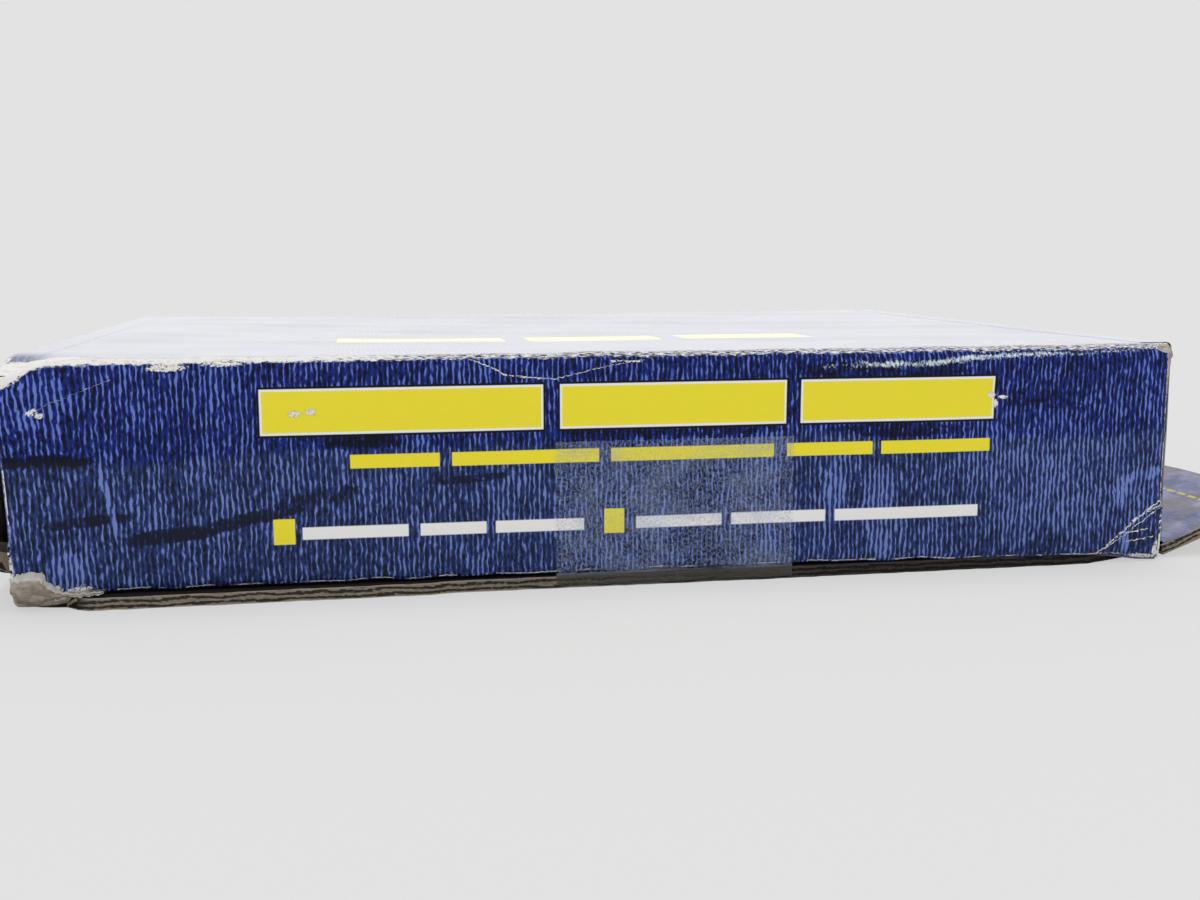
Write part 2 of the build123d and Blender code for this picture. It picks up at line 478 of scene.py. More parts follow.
# Scuffs: middle, half width and half height
scuffs = [
    (-119.9, 41.3, 1.1, 0.8),
    (-118.7, 40.3, 0.9, 0.7),
    (-69.8, 39.2, 1.5, 0.8),
    (-66.6, 39.6, 1.3, 0.9),
    (83.4, 40.2, 1.2, 0.8),
    (86.2, 39.6, 1.5, 0.5),
    (84.4, 38.2, 0.7, 1.1),
    (122.5, 3.2, 3.8, 1.0),
    (125.8, 4.6, 0.8, 2.6),
    (-95.0, 49.6, 4.5, 1.3),
    (-84.0, 50.2, 5.0, 1.0),
    (-115.5, 4.0, 4.4, 1.5),
    (-120.2, 5.4, 1.6, 1.4),
    (-118.4, 5.6, 1.4, 0.9),
]
# Where the printed paper is torn off: middle, half width, half height and climb
tears = [
    (3.4 - END, 3.4, 4.8, 4.6, 0.0),
    (9.0 - END, 1.8, 9.5, 2.0, 0.0),
    (END - 0.4, TOP - 0.1, 3.2, 1.8, 0.0),
    (END + 0.2, TOP - 4.5, 1.4, 7.0, 0.0),
    (-FLAP_CREASE, TOP + 4.0, 12.0, 9.0, 0.0),
]
print(len(dark_smudges) + len(pale_smudges), "smudges,", len(creases), "creases,", len(scuffs), "scuffs")

# %% [markdown]
# Each mark becomes a mask, a number from 0 to 1 at every point of the sheet: a blot for a smudge, the
# distance from a line for a crease, and soft steps for a bar. Masks are plain arithmetic, so they can be
# roughened with noise and laid over each other, which a stamped picture can't.

# %% Masks


def blot(place, spot, blunt=False):
    """A soft ellipse: its middle, half width, half height and climb. A blunt one is as tall all along."""
    across, along = place
    x, z, wide, tall, climb = spot
    dx = (across - x) / wide
    dz = (along - z - (across - x) * climb) / tall
    reach = dx * dx
    if blunt:
        reach = reach * reach
    return (reach + dz * dz).rise(1.5, 0.15)


def line_distance(place, start, end):
    """The distance in millimetres from a straight line between two places on the sheet."""
    across, along = place
    run = (end[0] - start[0], end[1] - start[1])
    length = math.hypot(*run)
    dx = across - start[0]
    dz = along - start[1]
    share = ((dx * run[0] + dz * run[1]) / length**2).most(0.0).least(1.0)
    off_x = dx - share * run[0]
    off_z = dz - share * run[1]
    return (off_x * off_x + off_z * off_z).math("SQRT")


def most_of(masks):
    """The strongest of several masks at each point."""
    return functools.reduce(Sock.most, masks)


def bars(place, spans, row, soft, wider=0.0, taller=0.0):
    """A row of plain bars, or of their outlines where they are made wider and taller."""
    across, along = place
    whole = most_of(across.within(left - wider, right + wider, soft) for left, right in spans)
    return whole * along.within(row[0] - taller, row[1] + taller, soft)


print("masks ready: blot, line_distance, most_of, bars")

# %% [markdown]
# The cloth is a scan of denim, washed and whiskered: light warp threads that wander side by side on dark
# indigo. So it is a cosine across the sheet, pushed sideways by noise and broken up by more noise, drawn out
# along the thread. A wave texture alone would look like corduroy, and noise alone has no threads.

# %% Denim
THREAD_PITCH = 1.12


def denim(finish, place, wash):
    """How much light thread shows at each point, and how light the ground between the threads is."""
    across, along = place
    drift = finish.noise(across / 5.0, along / 13.0, 1.7) - 0.5
    jitter = finish.noise(across / 0.9, along / 2.3, 5.1) - 0.5
    thread = ((across / THREAD_PITCH + drift * 1.4 + jitter * 0.85) * math.tau).math("COSINE")
    fleck = finish.noise(across / 0.75, along / 2.0, 9.3, detail=2.0) - 0.5
    cloud = finish.noise(across / 9.0, along / 14.0, 3.3, detail=2.0) - 0.5
    mottle = finish.noise(across / 0.55, along / 1.0, 15.7, detail=2.0) - 0.5
    tone = thread * 0.62 + fleck * 1.9 + cloud * 0.9 + wash
    threads = tone.rise(0.32, 0.78)
    ground = (tone * 0.7 + mottle * 1.9).rise(-0.6, 0.26)
    return threads, ground


def cloth_colour(finish, place, on_front):
    """The denim's colour: deeper blue towards the top of the front panel, smudged and washed below."""
    across, along = place
    patchy = finish.noise(across / 3.4, along / 1.7, 71.0, detail=3.0) - 0.5
    shred = finish.noise(across / 0.8, along / 2.2, 73.0, detail=2.0) - 0.5
    dark = most_of(blot(place, spot, blunt=True) * strength for *spot, strength in dark_smudges)
    dark = dark * (dark + patchy * 1.9 + shred * 1.7).rise(0.2, 0.85) * on_front
    pale = most_of(blot(place, spot) * strength for *spot, strength in pale_smudges) * on_front
    corner = across.rise(78.0, 95.0) * along.rise(30.0, 33.0) * on_front
    wash = pale * 1.1 - dark * (1.35 - pale * 1.2) - corner * 0.05
    threads, ground = denim(finish, place, wash)
    uneven = finish.noise(across / 34.0, along / 20.0, 12.9, detail=2.0) - 0.5
    deep = (along + uneven * 7.0).rise(29.5, 32.0)
    gap_colour = finish.mix(deep, ink(20, 25, 44), ink(7, 8, 27))
    ground_colour = finish.mix(deep, ink(42, 60, 120), ink(22, 42, 128))
    thread_colour = finish.mix(deep, ink(116, 137, 205), ink(106, 131, 210))
    colour = finish.mix(ground, gap_colour, ground_colour)
    return finish.mix(threads, colour, thread_colour)


print("denim ready: a thread every", THREAD_PITCH, "mm")

# %% [markdown]
# On the cloth stand plain bars and squares, yellow with a white outline and a dark shade, or white alone. The
# right tuck flap has lain in the light: its print is bleached to slate and soiled, and its pale slate is also a
# painted glare from the grazing light. It has a yellow stitch along it. Both are drawn with the masks, so their
# edges stay crisp.

# %% Bars and stitch
STITCH_LENGTH = 4.6
STITCH_PLACE = FLAP_CREASE + 22.0


def printed_bars(finish, place, on_front, colour):
    """Plain bars and squares of the print's yellow and white."""
    shade = bars(place, tall_bars, TALL_ROW, 0.12, wider=0.9, taller=1.0) * on_front
    outline = bars(place, tall_bars, TALL_ROW, 0.1, wider=0.45, taller=0.5) * on_front
    rows = ((tall_bars, TALL_ROW, 0.1), (slim_bars, SLIM_ROW, 0.12), (squares, SQUARE_ROW, 0.08))
    yellow = most_of(bars(place, *row) * on_front for row in rows)
    yellow = yellow.most(bars(place, top_bars, TOP_ROW, 0.12))
    white = bars(place, white_bars, WHITE_ROW, 0.15) * on_front
    colour = finish.mix(shade, colour, ink(14, 14, 24))
    colour = finish.mix(outline.most(white), colour, ink(250, 249, 247))
    return finish.mix(yellow, colour, ink(250, 235, 58))


def flap_stitch(finish, place, colour):
    """The right tuck flap: bleached to slate and soiled, paler in part as painted glare, with a yellow stitch
    along it.
    """
    across, along = place
    on_tuck = along.rise(TOP + 1, TOP + 3)
    # Partly painted glare: the tuck flap's print turns pale slate, which is real fading and soiling and also
    # the wash of grazing light.
    fade_and_glare = across.rise(FLAP_CREASE - 2, FLAP_CREASE + 2) * on_tuck
    cloud = finish.noise(across / 7.0, along / 15.0, 44.0, detail=4.0)
    grime = finish.noise(across / 12.0, along / 14.0, 67.0, detail=4.0)
    slate = finish.mix(cloud.rise(0.4, 0.6), ink(94, 101, 152), ink(182, 183, 212))
    slate = finish.mix(grime.rise(0.46, 0.58) * 0.8, slate, ink(140, 132, 130))
    colour = finish.mix(fade_and_glare * 0.7, colour, slate)
    dash = ((along / STITCH_LENGTH) * math.tau).math("COSINE").rise(-0.75, -0.55)
    stitch = across.within(STITCH_PLACE - 0.4, STITCH_PLACE + 0.4, 0.15) * dash * on_tuck
    return finish.mix(stitch, colour, ink(232, 214, 74))


print("bars and stitch ready:", len(tall_bars + slim_bars + white_bars + top_bars), "bars")

# %% [markdown]
# Wear: on folds and creases the ink is rubbed off, down to white paper, and at some corners the paper itself
# is torn off the brown board. Rubbing never leaves a smooth edge, so every mask is broken up by noise, but
# only where the mask already has some strength: noise alone would scatter specks all over the sheet.

# %% Wear and tears
WHERE_ANY = (0.02, 0.25)


def fold_wear(finish, place, rag, on_front):
    """Where the folds and creases are rubbed through to the white paper."""
    across, along = place
    over_fold = along - TOP
    to_left = across.rise(-35.0, -75.0)
    fleck = finish.noise(across / 1.7, along / 0.36, 41.0, detail=2.0)
    broken = finish.noise(across / 0.9, along / 0.9, 53.0, detail=2.0)
    top_fold = (over_fold + (rag - 0.5) * 2.0 + (broken - 0.5) * 2.2 + to_left * 0.2).rise(-0.6, 0.2)
    top_fold = top_fold * (fleck + to_left * 0.16).rise(0.42, 0.52) * (over_fold - rag * 2.4).rise(3.0, 1.2)
    chafed = finish.noise(across / 6.0, along / 11.0, 37.0, detail=2.0)
    end_fold = (abs(END - abs(across)) - rag * 0.9).rise(0.25, -0.1)
    end_fold = end_fold * (chafed + broken - 0.5).rise(0.44, 0.56)
    dashes = finish.noise(across / 5.0, along / 9.0, 47.0, detail=3.0, roughness=0.7)
    low_fold = (abs(along - 3.1 - (broken - 0.5) * 0.9) - rag * 0.4).rise(0.08, -0.12)
    low_fold = low_fold * dashes.rise(0.46, 0.54)
    wander = (across + (rag - 0.5) * 1.8, along + (broken - 0.5) * 1.1)
    lines = most_of(
        (line_distance(wander, (ax, az), (bx, bz)) - (rag - 0.4) * wide * 2).rise(wide, wide * 0.4)
        for ax, az, bx, bz, wide in creases
    )
    crumb = finish.noise(across / 0.45, along / 0.45, 59.0, detail=2.0)
    spots = most_of(blot(place, (x, z, wide, tall, 0.0)) for x, z, wide, tall in scuffs)
    spots = (spots + (broken - 0.5) * 1.6 + (crumb - 0.5) * 2.2).rise(0.5, 0.85) * spots.rise(*WHERE_ANY)
    crushed = blot(place, (-END, TOP + 1.0, 11.0, 4.4, 0.2))
    crushed = crushed.most(blot(place, (4.0 - END, TOP + 7.0, 14.0, 7.0, 0.0)))
    ragged = (rag - 0.5) * 1.3 + (broken - 0.5) * 1.3 + (crumb - 0.5) * 0.7
    crushed = (crushed + ragged).rise(0.3, 0.6) * crushed.rise(*WHERE_ANY)
    marks = low_fold.most(lines * broken.rise(0.34, 0.46)).most(spots) * on_front
    return top_fold.most(end_fold).most(marks).most(crushed)


def torn_board(finish, place, rag):
    """Where the printed paper is torn off, at two corners of the front and one of the left flap."""
    across, along = place
    fringe = finish.noise(across / 0.8, along / 0.8, 77.0, detail=2.0)
    torn = most_of(blot(place, spot) for spot in tears)
    return torn + ((rag - 0.5) * 0.8 + (fringe - 0.5) * 0.9) * torn.rise(0.0, 0.2)


print("wear and tears ready:", len(tears), "tears")

# %% [markdown]
# The board's outer finish lays these over each other: cloth, bars, a painted highlight where the varnish is
# rubbed and gleams, white paper, brown board. Only the top keeps its varnish, as a coat that mirrors the soft
# box behind it. Painting that glare white would be simpler, but it would stay there when the carton is seen
# from above.

# %% Printed board


def printed_board():
    """Denim print, plain bars, worn folds and bare board, with a painted highlight on the rubbed varnish and
    painted shade under the lower fold.
    """
    finish = Finish("denim_printed_board")
    place = across, along = finish.sheet_place()
    on_front = along.within(0.0, TOP, 0.3) * abs(across).rise(END + 0.5, END - 0.5)
    rag = finish.noise(across / 3.2, along / 3.2, 21.0, detail=3.0, roughness=0.65)
    grain = finish.noise(across / 0.55, along / 0.55, 27.0, detail=2.0)
    pulp = finish.noise(across / 2.2, along / 2.2, 33.0, detail=4.0, roughness=0.7)

    colour = cloth_colour(finish, place, on_front)
    colour = printed_bars(finish, place, on_front, colour)
    colour = flap_stitch(finish, place, colour)

    # Painted highlight: a pale cyan-white gleam along the rubbed varnish near the top of the front panel.
    wavy = (across, along + (rag - 0.5) * 1.4)
    painted_gleam = most_of(
        line_distance(wavy, (ax, az), (bx, bz)).rise(1.5, 0.0) * strength
        for ax, az, bx, bz, strength in painted_gleam_lines
    )
    sparkle = finish.noise(across / 0.55, along / 0.9, 61.0, detail=3.0, roughness=0.7) - 0.5
    gathered = finish.noise(across / 5.0, along / 5.0, 64.0) - 0.5
    painted_gleam = (painted_gleam + sparkle * 2.6 + gathered * 0.9).rise(0.5, 1.2) * painted_gleam.rise(0.05, 0.4) * on_front
    colour = finish.mix(painted_gleam, colour, ink(226, 240, 248))

    torn = torn_board(finish, place, rag)
    bare = torn.rise(0.42, 0.52)
    worn = fold_wear(finish, place, rag, on_front).most(torn.rise(0.22, 0.34))
    paper = finish.mix(grain, ink(232, 230, 226), ink(252, 251, 249))
    paper = finish.mix(pulp.rise(0.5, 0.72) * 0.5, paper, ink(198, 188, 174))
    board_colour = finish.mix(pulp.rise(0.3, 0.7), ink(142, 131, 117), ink(212, 203, 189))
    colour = finish.mix(worn * grain.rise(0.15, 0.36), colour, paper)
    colour = finish.mix(bare, colour, board_colour)
    # Painted shade: the underside of the lower front fold is painted near black.
    painted_fold_shade = along.rise(2.7, 2.2) * along.rise(-6.0, -3.0) * abs(across).rise(END - 10, END - 14)
    colour = finish.mix(painted_fold_shade * (1 - bare), colour, ink(14, 14, 16))

    scraped = worn.most(bare)
    on_end = abs(across).within(END + 2.5, FLAP_CREASE - 1.0, 1.0)
    on_tuck = abs(across).rise(FLAP_CREASE - 1.0, FLAP_CREASE + 1.0)
    varnish = along.within(TOP + 2.0, SHEET_BACK - 2.0, 1.5) * (1 - on_end) * (1 - on_tuck * 0.5)
    relief = rag * 0.2 + pulp * bare * 1.6 - worn * 0.35
    finish.surface(
        Base_Color=colour,
        Roughness=scraped * 0.5 + (rag - 0.5) * 0.12 + 0.38,
        Specular_IOR_Level=0.15,
        Coat_Weight=varnish * (1 - scraped),
        Coat_Roughness=0.13,
        Normal=finish.bump(relief, 0.00045),
    )
    return finish.material


print_finish = printed_board()
print("printed board:", len(print_finish.node_tree.nodes), "nodes")

# %% [markdown]
# Where the sheet was cut or torn, its layers show: a face paper on each side and the crushed flutes between.
# Each point knows how deep it lies in the board, so the layers are drawn by that depth. Inside, the carton is
# plain grey-brown paper. A scan of real board would serve as well, but it would repeat along a long edge.

# %% Raw edges and the inside
FLUTE_PITCH = 6.4 * MM
pitch = FLUTE_PITCH / MM


def raw_edge():
    """The cut edge along the flutes: papers and crushed layers, seen from the side, with painted shade in the
    gaps between the layers and where the edge lies recessed.
    """
    finish = Finish("raw_board_edge")
    x, y, z = finish.object_place()
    along = x + y * 0.7 + z * 0.4
    through = finish.node("ShaderNodeAttribute", {"attribute_name": "through"}, output=2)
    wave = finish.noise(along / 7.0, through * 1.3, 2.0, detail=3.0)
    fray = finish.noise(along / 1.1, through * 5.0, 6.0, detail=2.0)
    layer = ((through + (wave - 0.5) * 0.6) * (math.tau * 2.2)).math("COSINE")
    # Painted shade: the gaps between the crushed layers are painted dark brown.
    gap = (layer * 0.5 + (fray - 0.5) * 1.6).rise(0.05, -0.4)
    colour = finish.mix(fray, ink(108, 98, 87), ink(168, 158, 144))
    colour = finish.mix(gap * 0.92, colour, ink(42, 37, 33))
    face = abs(through - 0.5).rise(0.4, 0.46)
    colour = finish.mix(face, colour, ink(172, 162, 148))
    # Painted shade: the edge darkens to near black where it lies recessed under the front panel, towards the
    # right end and at the rubbed-off left corner.
    recess_shade = x.rise(-50.0, 55.0) * x.rise(128.5, 127.5) * y.rise(FRONT + 8.0, FRONT + 5.0)
    shaded = recess_shade.most(x.rise(-111.0, -115.0) * y.rise(FRONT + 12.0, FRONT + 9.0))
    colour = finish.mix(shaded * 0.86, colour, ink(26, 25, 27))
    height_map = (1 - gap) * 0.8 + fray * 0.3
    return finish.paper(colour, 0.92, height_map, 0.0006)


def open_flutes():
    """The cut edge across the flutes: a wavy paper between two flat ones, with painted shade in the hollows
    between them.
    """
    finish = Finish("open_flutes")
    _, y, z = finish.object_place()
    through = finish.node("ShaderNodeAttribute", {"attribute_name": "through"}, output=2)
    wobble = finish.noise(y / 9.0, z / 9.0, 4.0) - 0.5
    wave = ((y / pitch + wobble * 0.5) * math.tau).math("COSINE") * 0.34 + 0.5
    paper = abs(through - wave).rise(0.2, 0.12).most(abs(through - 0.5).rise(0.38, 0.43))
    fibre = finish.noise(y / 0.8, z / 0.8, 8.0, detail=2.0)
    colour = finish.mix(fibre, ink(140, 124, 105), ink(178, 162, 141))
    # Painted shade: the hollows between the papers are painted near black.
    colour = finish.mix(1 - paper, colour, ink(30, 25, 21))
    return finish.paper(colour, 0.92, paper, 0.0008)


def inside_paper():
    """The unprinted inner face: grey-brown recycled paper with faint lines over the flutes, and painted shade
    under the lower front fold.
    """
    finish = Finish("inside_paper")
    x, y, z = finish.object_place()
    speck = finish.noise(x / 0.7, (y + z) / 0.7, 3.0, detail=3.0, roughness=0.7)
    cloud = finish.noise(x / 30.0, (y + z) / 30.0, 5.0, detail=2.0)
    flute = ((y + z) * (math.tau / pitch)).math("COSINE") * 0.5 + 0.5
    colour = finish.mix(speck * 0.6 + cloud * 0.4, ink(126, 112, 94), ink(176, 160, 137))
    colour = finish.mix(flute * 0.16, colour, ink(96, 84, 70))
    # Painted shade: near black on the inner face near the front, under the lower front fold.
    shade_under_fold = y.rise(FRONT + 6.0, FRONT + 4.0) * z.rise(4.4, 3.4) * z.rise(1.0, 2.2)
    colour = finish.mix(shade_under_fold * 0.95, colour, ink(14, 13, 13))
    return finish.paper(colour, 0.88, flute * 0.5 + speck * 0.3, 0.0002, gloss=0.2)


board_finishes = [print_finish, inside_paper(), raw_edge(), open_flutes()]
PRINT, INSIDE, EDGE, FLUTES = range(4)
print("board finishes:", [material.name for material in board_finishes])

# %% [markdown]
# The sleeve is one sheet, so it is modelled as one: a plane for the bottom panel, whose back edge is extruded
# up, forward and down into the other panels, then in, as the glue tab. Six separate boards would leave seams
# at the folds, where the real sheet has none.

# %% Sleeve: panels
TINY = 0.01 * MM
tab_width = 22 * MM

sleeve = start("printed_sleeve", bpy.ops.mesh.primitive_plane_add, size=1)
set_size(sleeve, (2 * end_x, 2 * back, 1))
pick(sleeve, "EDGE", lambda edge: middle(edge).y > back - TINY)
for run in ((0, 0, height), (0, -2 * back, 0), (0, 0, board - height), (0, tab_width, 0)):
    bpy.ops.mesh.extrude_edges_move(TRANSFORM_OT_translate={"value": run})
bpy.ops.mesh.select_all(action="SELECT")
bpy.ops.mesh.flip_normals()
done()
print("sleeve:", len(sleeve.data.polygons), "panels")

# %% [markdown]
# At both mouths the front and back panels go on into short dust flaps, folded in and narrower at their tips.
# They are extruded from the panels' edges, then resized and bevelled at the tips, so they stay one sheet with
# them.

# %% Sleeve: dust flaps
dust_length = 60 * MM
dust_low = 14.5 * MM
dust_high = height - board - 1.2 * MM
dust_narrowing = 0.7
dust_corner = 4 * MM
slice_up(sleeve, 2, [dust_low, dust_high])


def is_mouth_edge(edge, side, panel):
    """An upright edge of the front or back panel at one mouth, where a dust flap grows."""
    spot = middle(edge)
    on_panel = abs(spot.x - side * end_x) < TINY and abs(spot.y - panel * back) < TINY
    return on_panel and dust_low < spot.z < dust_high


for side in (-1, 1):
    for panel in (-1, 1):
        pick(sleeve, "EDGE", lambda edge: is_mouth_edge(edge, side, panel))
        bpy.ops.mesh.extrude_edges_move(TRANSFORM_OT_translate={"value": (0, -panel * dust_length, 0)})


def is_dust_tip(vertex):
    """A corner at the free end of a dust flap."""
    return abs(abs(vertex.co.y) - (back - dust_length)) < TINY and abs(vertex.co.x) > end_x - TINY


pick(sleeve, "VERT", is_dust_tip)
dust_middle = (0, 0, (dust_low + dust_high) / 2)
bpy.ops.transform.resize(value=(1, 1, dust_narrowing), center_override=dust_middle)
pick(sleeve, "VERT", is_dust_tip)
bpy.ops.mesh.bevel(offset=dust_corner, segments=4, affect="VERTICES")
done()
print("sleeve with dust flaps:", len(sleeve.data.polygons), "faces")

# %% [markdown]
# Board doesn't fold to a knife edge, so the folds are bevelled round. The glue tab is cut shorter than the
# panel and tapers, so that it can't catch at the mouths. Last, cuts all along the sheet give it points enough
# to dent: a subdivision would do that too, but it would make most points where nothing bends.

# %% Sleeve: folds and tab
mouth_radius = 1.6 * MM
tab_end = end_x - 17 * MM
tab_taper = 14 * MM


def is_fold(edge, axis):
    """An edge between two faces that runs along an axis."""
    run = (edge.verts[0].co - edge.verts[1].co).normalized()
    return len(edge.link_faces) == 2 and abs(run[axis]) > 0.9 and abs(abs(middle(edge).y) - back) < TINY


def is_corner_fold(edge):
    """A long fold between two panels."""
    return is_fold(edge, 0) and min(abs(middle(edge).z - k) for k in (0, board, height)) < TINY


pick(sleeve, "EDGE", is_corner_fold)
bpy.ops.mesh.bevel(offset=fold_radius, segments=4)
pick(sleeve, "EDGE", lambda edge: is_fold(edge, 2))
bpy.ops.mesh.bevel(offset=mouth_radius, segments=3)
slice_up(sleeve, 0, [-tab_end, tab_end])


def is_on_tab(element):
    """The flat part of the glue tab, past its fold."""
    spot = middle(element)
    return abs(spot.z - board) < TINY and front + fold_radius + TINY < spot.y < front + tab_width + TINY


pick(sleeve, "FACE", lambda face: is_on_tab(face) and abs(middle(face).x) > tab_end)
bpy.ops.mesh.delete(type="FACE")
pick(sleeve, "VERT", lambda vertex: is_on_tab(vertex) and vertex.co.y > front + tab_width - TINY)
bpy.ops.transform.resize(value=(1 - tab_taper / tab_end, 1, 1), center_override=(0, 0, 0))
slice_up(sleeve, 0, spread(-end_x, end_x, 2.5 * MM))
slice_up(sleeve, 1, spread(front, back, 4 * MM))
slice_up(sleeve, 2, spread(board, height, 2 * MM))
print("sleeve sheet:", len(sleeve.data.polygons), "faces")

# %% [markdown]
# The print needs the flat sheet's coordinates. Across is simply the length, and along runs up the front panel
# and on over the top. On a fold both y and z change, so their sum carries the print round it without a seam.

# %% Sleeve: print coordinates


def sleeve_sheet(spot, normal):
    """Where a point of the folded sleeve lies on the flat sheet."""
    if abs(normal.x) > 0.5:
        turned_in = min(spot.y - front, back - spot.y)
        return math.copysign(end_x + turned_in, spot.x), spot.z
    if normal.z < -0.75 and spot.z < board / 2:
        return spot.x, front - spot.y
    if spot.y < front + 2 * tab_width and spot.z < board + fold_radius:
        return spot.x, spot.z - (spot.y - front)
    if normal.y > 0.7:
        return spot.x, height + 2 * back + (height - spot.z)
    return spot.x, spot.z + (spot.y - front)


lay_print(sleeve, sleeve_sheet)
print("print laid on", len(sleeve.data.uv_layers["sheet"].data), "corners")

# %% [markdown]
# Years of handling: the upper left corner is crushed, the lower left one is mashed to pulp over the seam, the
# lower right one is bent back along a crease, and the bottom panel's raw edge lies askew under the front.
# Each is a small move of the points near it, faded out smoothly, on top of a slight wave in every panel.
# Sculpting would give the same dents, but a formula can be run again after any change to the sheet.

# %% Sleeve: dents and waves
corner_crease = np.array(((110.4, 3.1), (126.4, 15.0)))


def front_wave(x, z):
    """How far the front panel stands out of true, in millimetres."""
    held = np.sin(np.pi * np.clip((z - BOARD) / (TOP - BOARD), 0, 1))
    slack_top = 0.55 * step_up(x, 20, 80) * step_up(z, TOP - 11, TOP - 4) * step_up(z, TOP, TOP - 3)
    return held * 0.45 * ripple(x, z, 75, 1.3) - slack_top


def lip(x):
    """How far the bottom panel's raw edge stands out in front of the front panel."""
    torn = 0.8 * step_up(x, -42, -38)
    ragged = 0.28 * ripple(x, 0 * x, 7.5, 4.0) + 0.22 * ripple(x, 0 * x, 23, 2.2)
    rubbed_off = 4.6 * step_up(x, -END + 15, -END + 9) + 2.4 * step_up(x, -END + 7, -END)
    rounded = 6.0 * step_up(x, END - 20, END)
    return 2.6 - 4.4 * (x + END) / (2 * END) - torn * step_up(x, 40, -38) - rubbed_off - rounded + ragged


def corner_crush(x, y, z):
    """How far the upper left corner is pushed down, in millimetres."""
    return 4.0 * step_up(x, -END + 11, -END) * step_up(y, FRONT + 22, FRONT) * step_up(z, TOP - 22, TOP)


def handled(x, y, z):
    """The sleeve's points after years of handling."""
    at_front = step_up(y, FRONT + 9, FRONT + 1)
    near_front = step_up(y, FRONT + 22, FRONT)
    is_bottom = z < BOARD / 2
    above = ~is_bottom
    on_front = (y < FRONT + 3.5) & above
    on_back = y > BACK - 3.5
    new_y = y + np.where(on_front, front_wave(x, z), 0) + np.where(on_back, front_wave(-x, z), 0)
    sag = 1.1 * (1 - (x / END) ** 2) * (1 - (y / BACK) ** 2)
    from_edge = np.clip((BACK - abs(y)) / 25, 0, 1) * np.clip((END - abs(x)) / 15, 0, 1)
    top_wave = 0.3 * ripple(x, y, 90, 0.4) * from_edge
    new_z = z + np.where(z > TOP - 1.5, top_wave - sag, 0)

    fold_sway = 0.22 * ripple(x, 0 * x, 31, 2.7) * step_up(z, TOP - 6, TOP) * near_front
    new_z = new_z + fold_sway
    crush = corner_crush(x, y, z)
    new_z = new_z - crush
    corner = step_up(x, -END + 22, -END) * step_up(y, FRONT + 3.9, FRONT + 2.2)
    new_x = x - (0.6 + 2.4 * (np.clip(z - 8, 0, None) / 43) ** 2) * step_up(z, 4, 14) * corner
    new_y = new_y + 0.2 * crush * at_front

    mash = step_up(x, -END + 17, -END + 6) * at_front * step_up(z, 15, 5) * above
    lumps = ripple(x, z, 6.5, 3.1)
    new_z = new_z - (2.3 + 0.4 * lumps) * mash * step_up(z, 11, 4)
    new_y = new_y - (0.1 + 0.2 * lumps) * mash
    new_x = new_x + 0.5 * mash * step_up(z, 5, 2.5)

    low, high = corner_crease
    run = (high - low) / np.hypot(*(high - low))
    past = (x - low[0]) * run[1] - (z - low[1]) * run[0]
    bent = np.clip(past, 0, None) * at_front * above
    new_y = new_y + 0.1 * bent
    new_z = new_z - 0.17 * bent * step_up(z, 16, 5)
    new_z = new_z - 1.0 * step_up(x, 30, 115) * at_front * step_up(z, 14, 4) * above

    new_y = np.where(is_bottom, y - lip(x) * step_up(y, FRONT + 14, FRONT), new_y)
    low_fold = 0.3 * ripple(x, 0 * x, 19, 1.1) * at_front * step_up(z, 12, 5) * above
    return new_x, new_y, new_z + low_fold


bend(sleeve, handled)
print("sheet bent:", len(sleeve.data.vertices), "points")

# %% [markdown]
# Up to here the sheet has no thickness. Solidify makes it as thick as board, inwards from the print, and
# gives the inside and the cut edges finishes of their own. Extruding every face would do the same with gaps
# at the folds.

# %% Sleeve: thickness
sheet_points = len(sleeve.data.vertices)
for material in board_finishes:
    sleeve.data.materials.append(material)
apply_modifier(
    sleeve,
    "SOLIDIFY",
    thickness=board,
    offset=-1.0,
    use_even_offset=True,
    use_quality_normals=True,
    material_offset=INSIDE,
    material_offset_rim=EDGE,
)
give_through(sleeve, lambda vertex: float(vertex.index >= sheet_points))
for face in sleeve.data.polygons:
    if face.material_index == EDGE and abs(face.normal.x) > 0.7:
        face.material_index = FLUTES
smooth_faces(sleeve)
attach(sleeve, "carton")
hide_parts("carton_sleeve")
print("sleeve:", len(sleeve.data.polygons), "faces")

# %% [markdown]
# At the lower left corner the layers have come apart and been mashed into a wad of pulp, which bulges out
# over the seam and trails off to the right. A cube rounded to a ball gives it an even skin of points, and a
# formula draws that out along the edge and dents it.

# %% Mashed corner
wad = start("mashed_corner", bpy.ops.mesh.primitive_cube_add, size=1)
edit(wad)
bpy.ops.mesh.select_all(action="SELECT")
bpy.ops.mesh.subdivide(number_cuts=23)
done()


def mashed(x, y, z):
    """A ball drawn out along the lower edge, thick at the corner and thin at its tail."""
    size = np.sqrt(x**2 + y**2 + z**2)
    a, b, c = x / size, y / size, z / size
    ring = np.sqrt(b**2 + c**2) + 1e-6
    share = ((a + 1) / 2) ** 1.5
    tail = step_up(share, 0.2, 0.55)
    girth = ring**0.5
    new_x = -END + 0.2 + 15.0 * share
    high = 4.5 - 1.7 * tail + 0.6 * share * tail + girth * (c / ring) * (3.0 - 2.5 * tail)
    out = -0.2 + girth * (b / ring) * (1.5 - 0.8 * tail)
    out = out + 0.3 * ripple(new_x, high, 6.0, 1.9)
    high = high + 0.3 * ripple(new_x + 2 * out, high, 5.0, 2.8)
    return new_x, FRONT + out, np.maximum(high, 1.2)


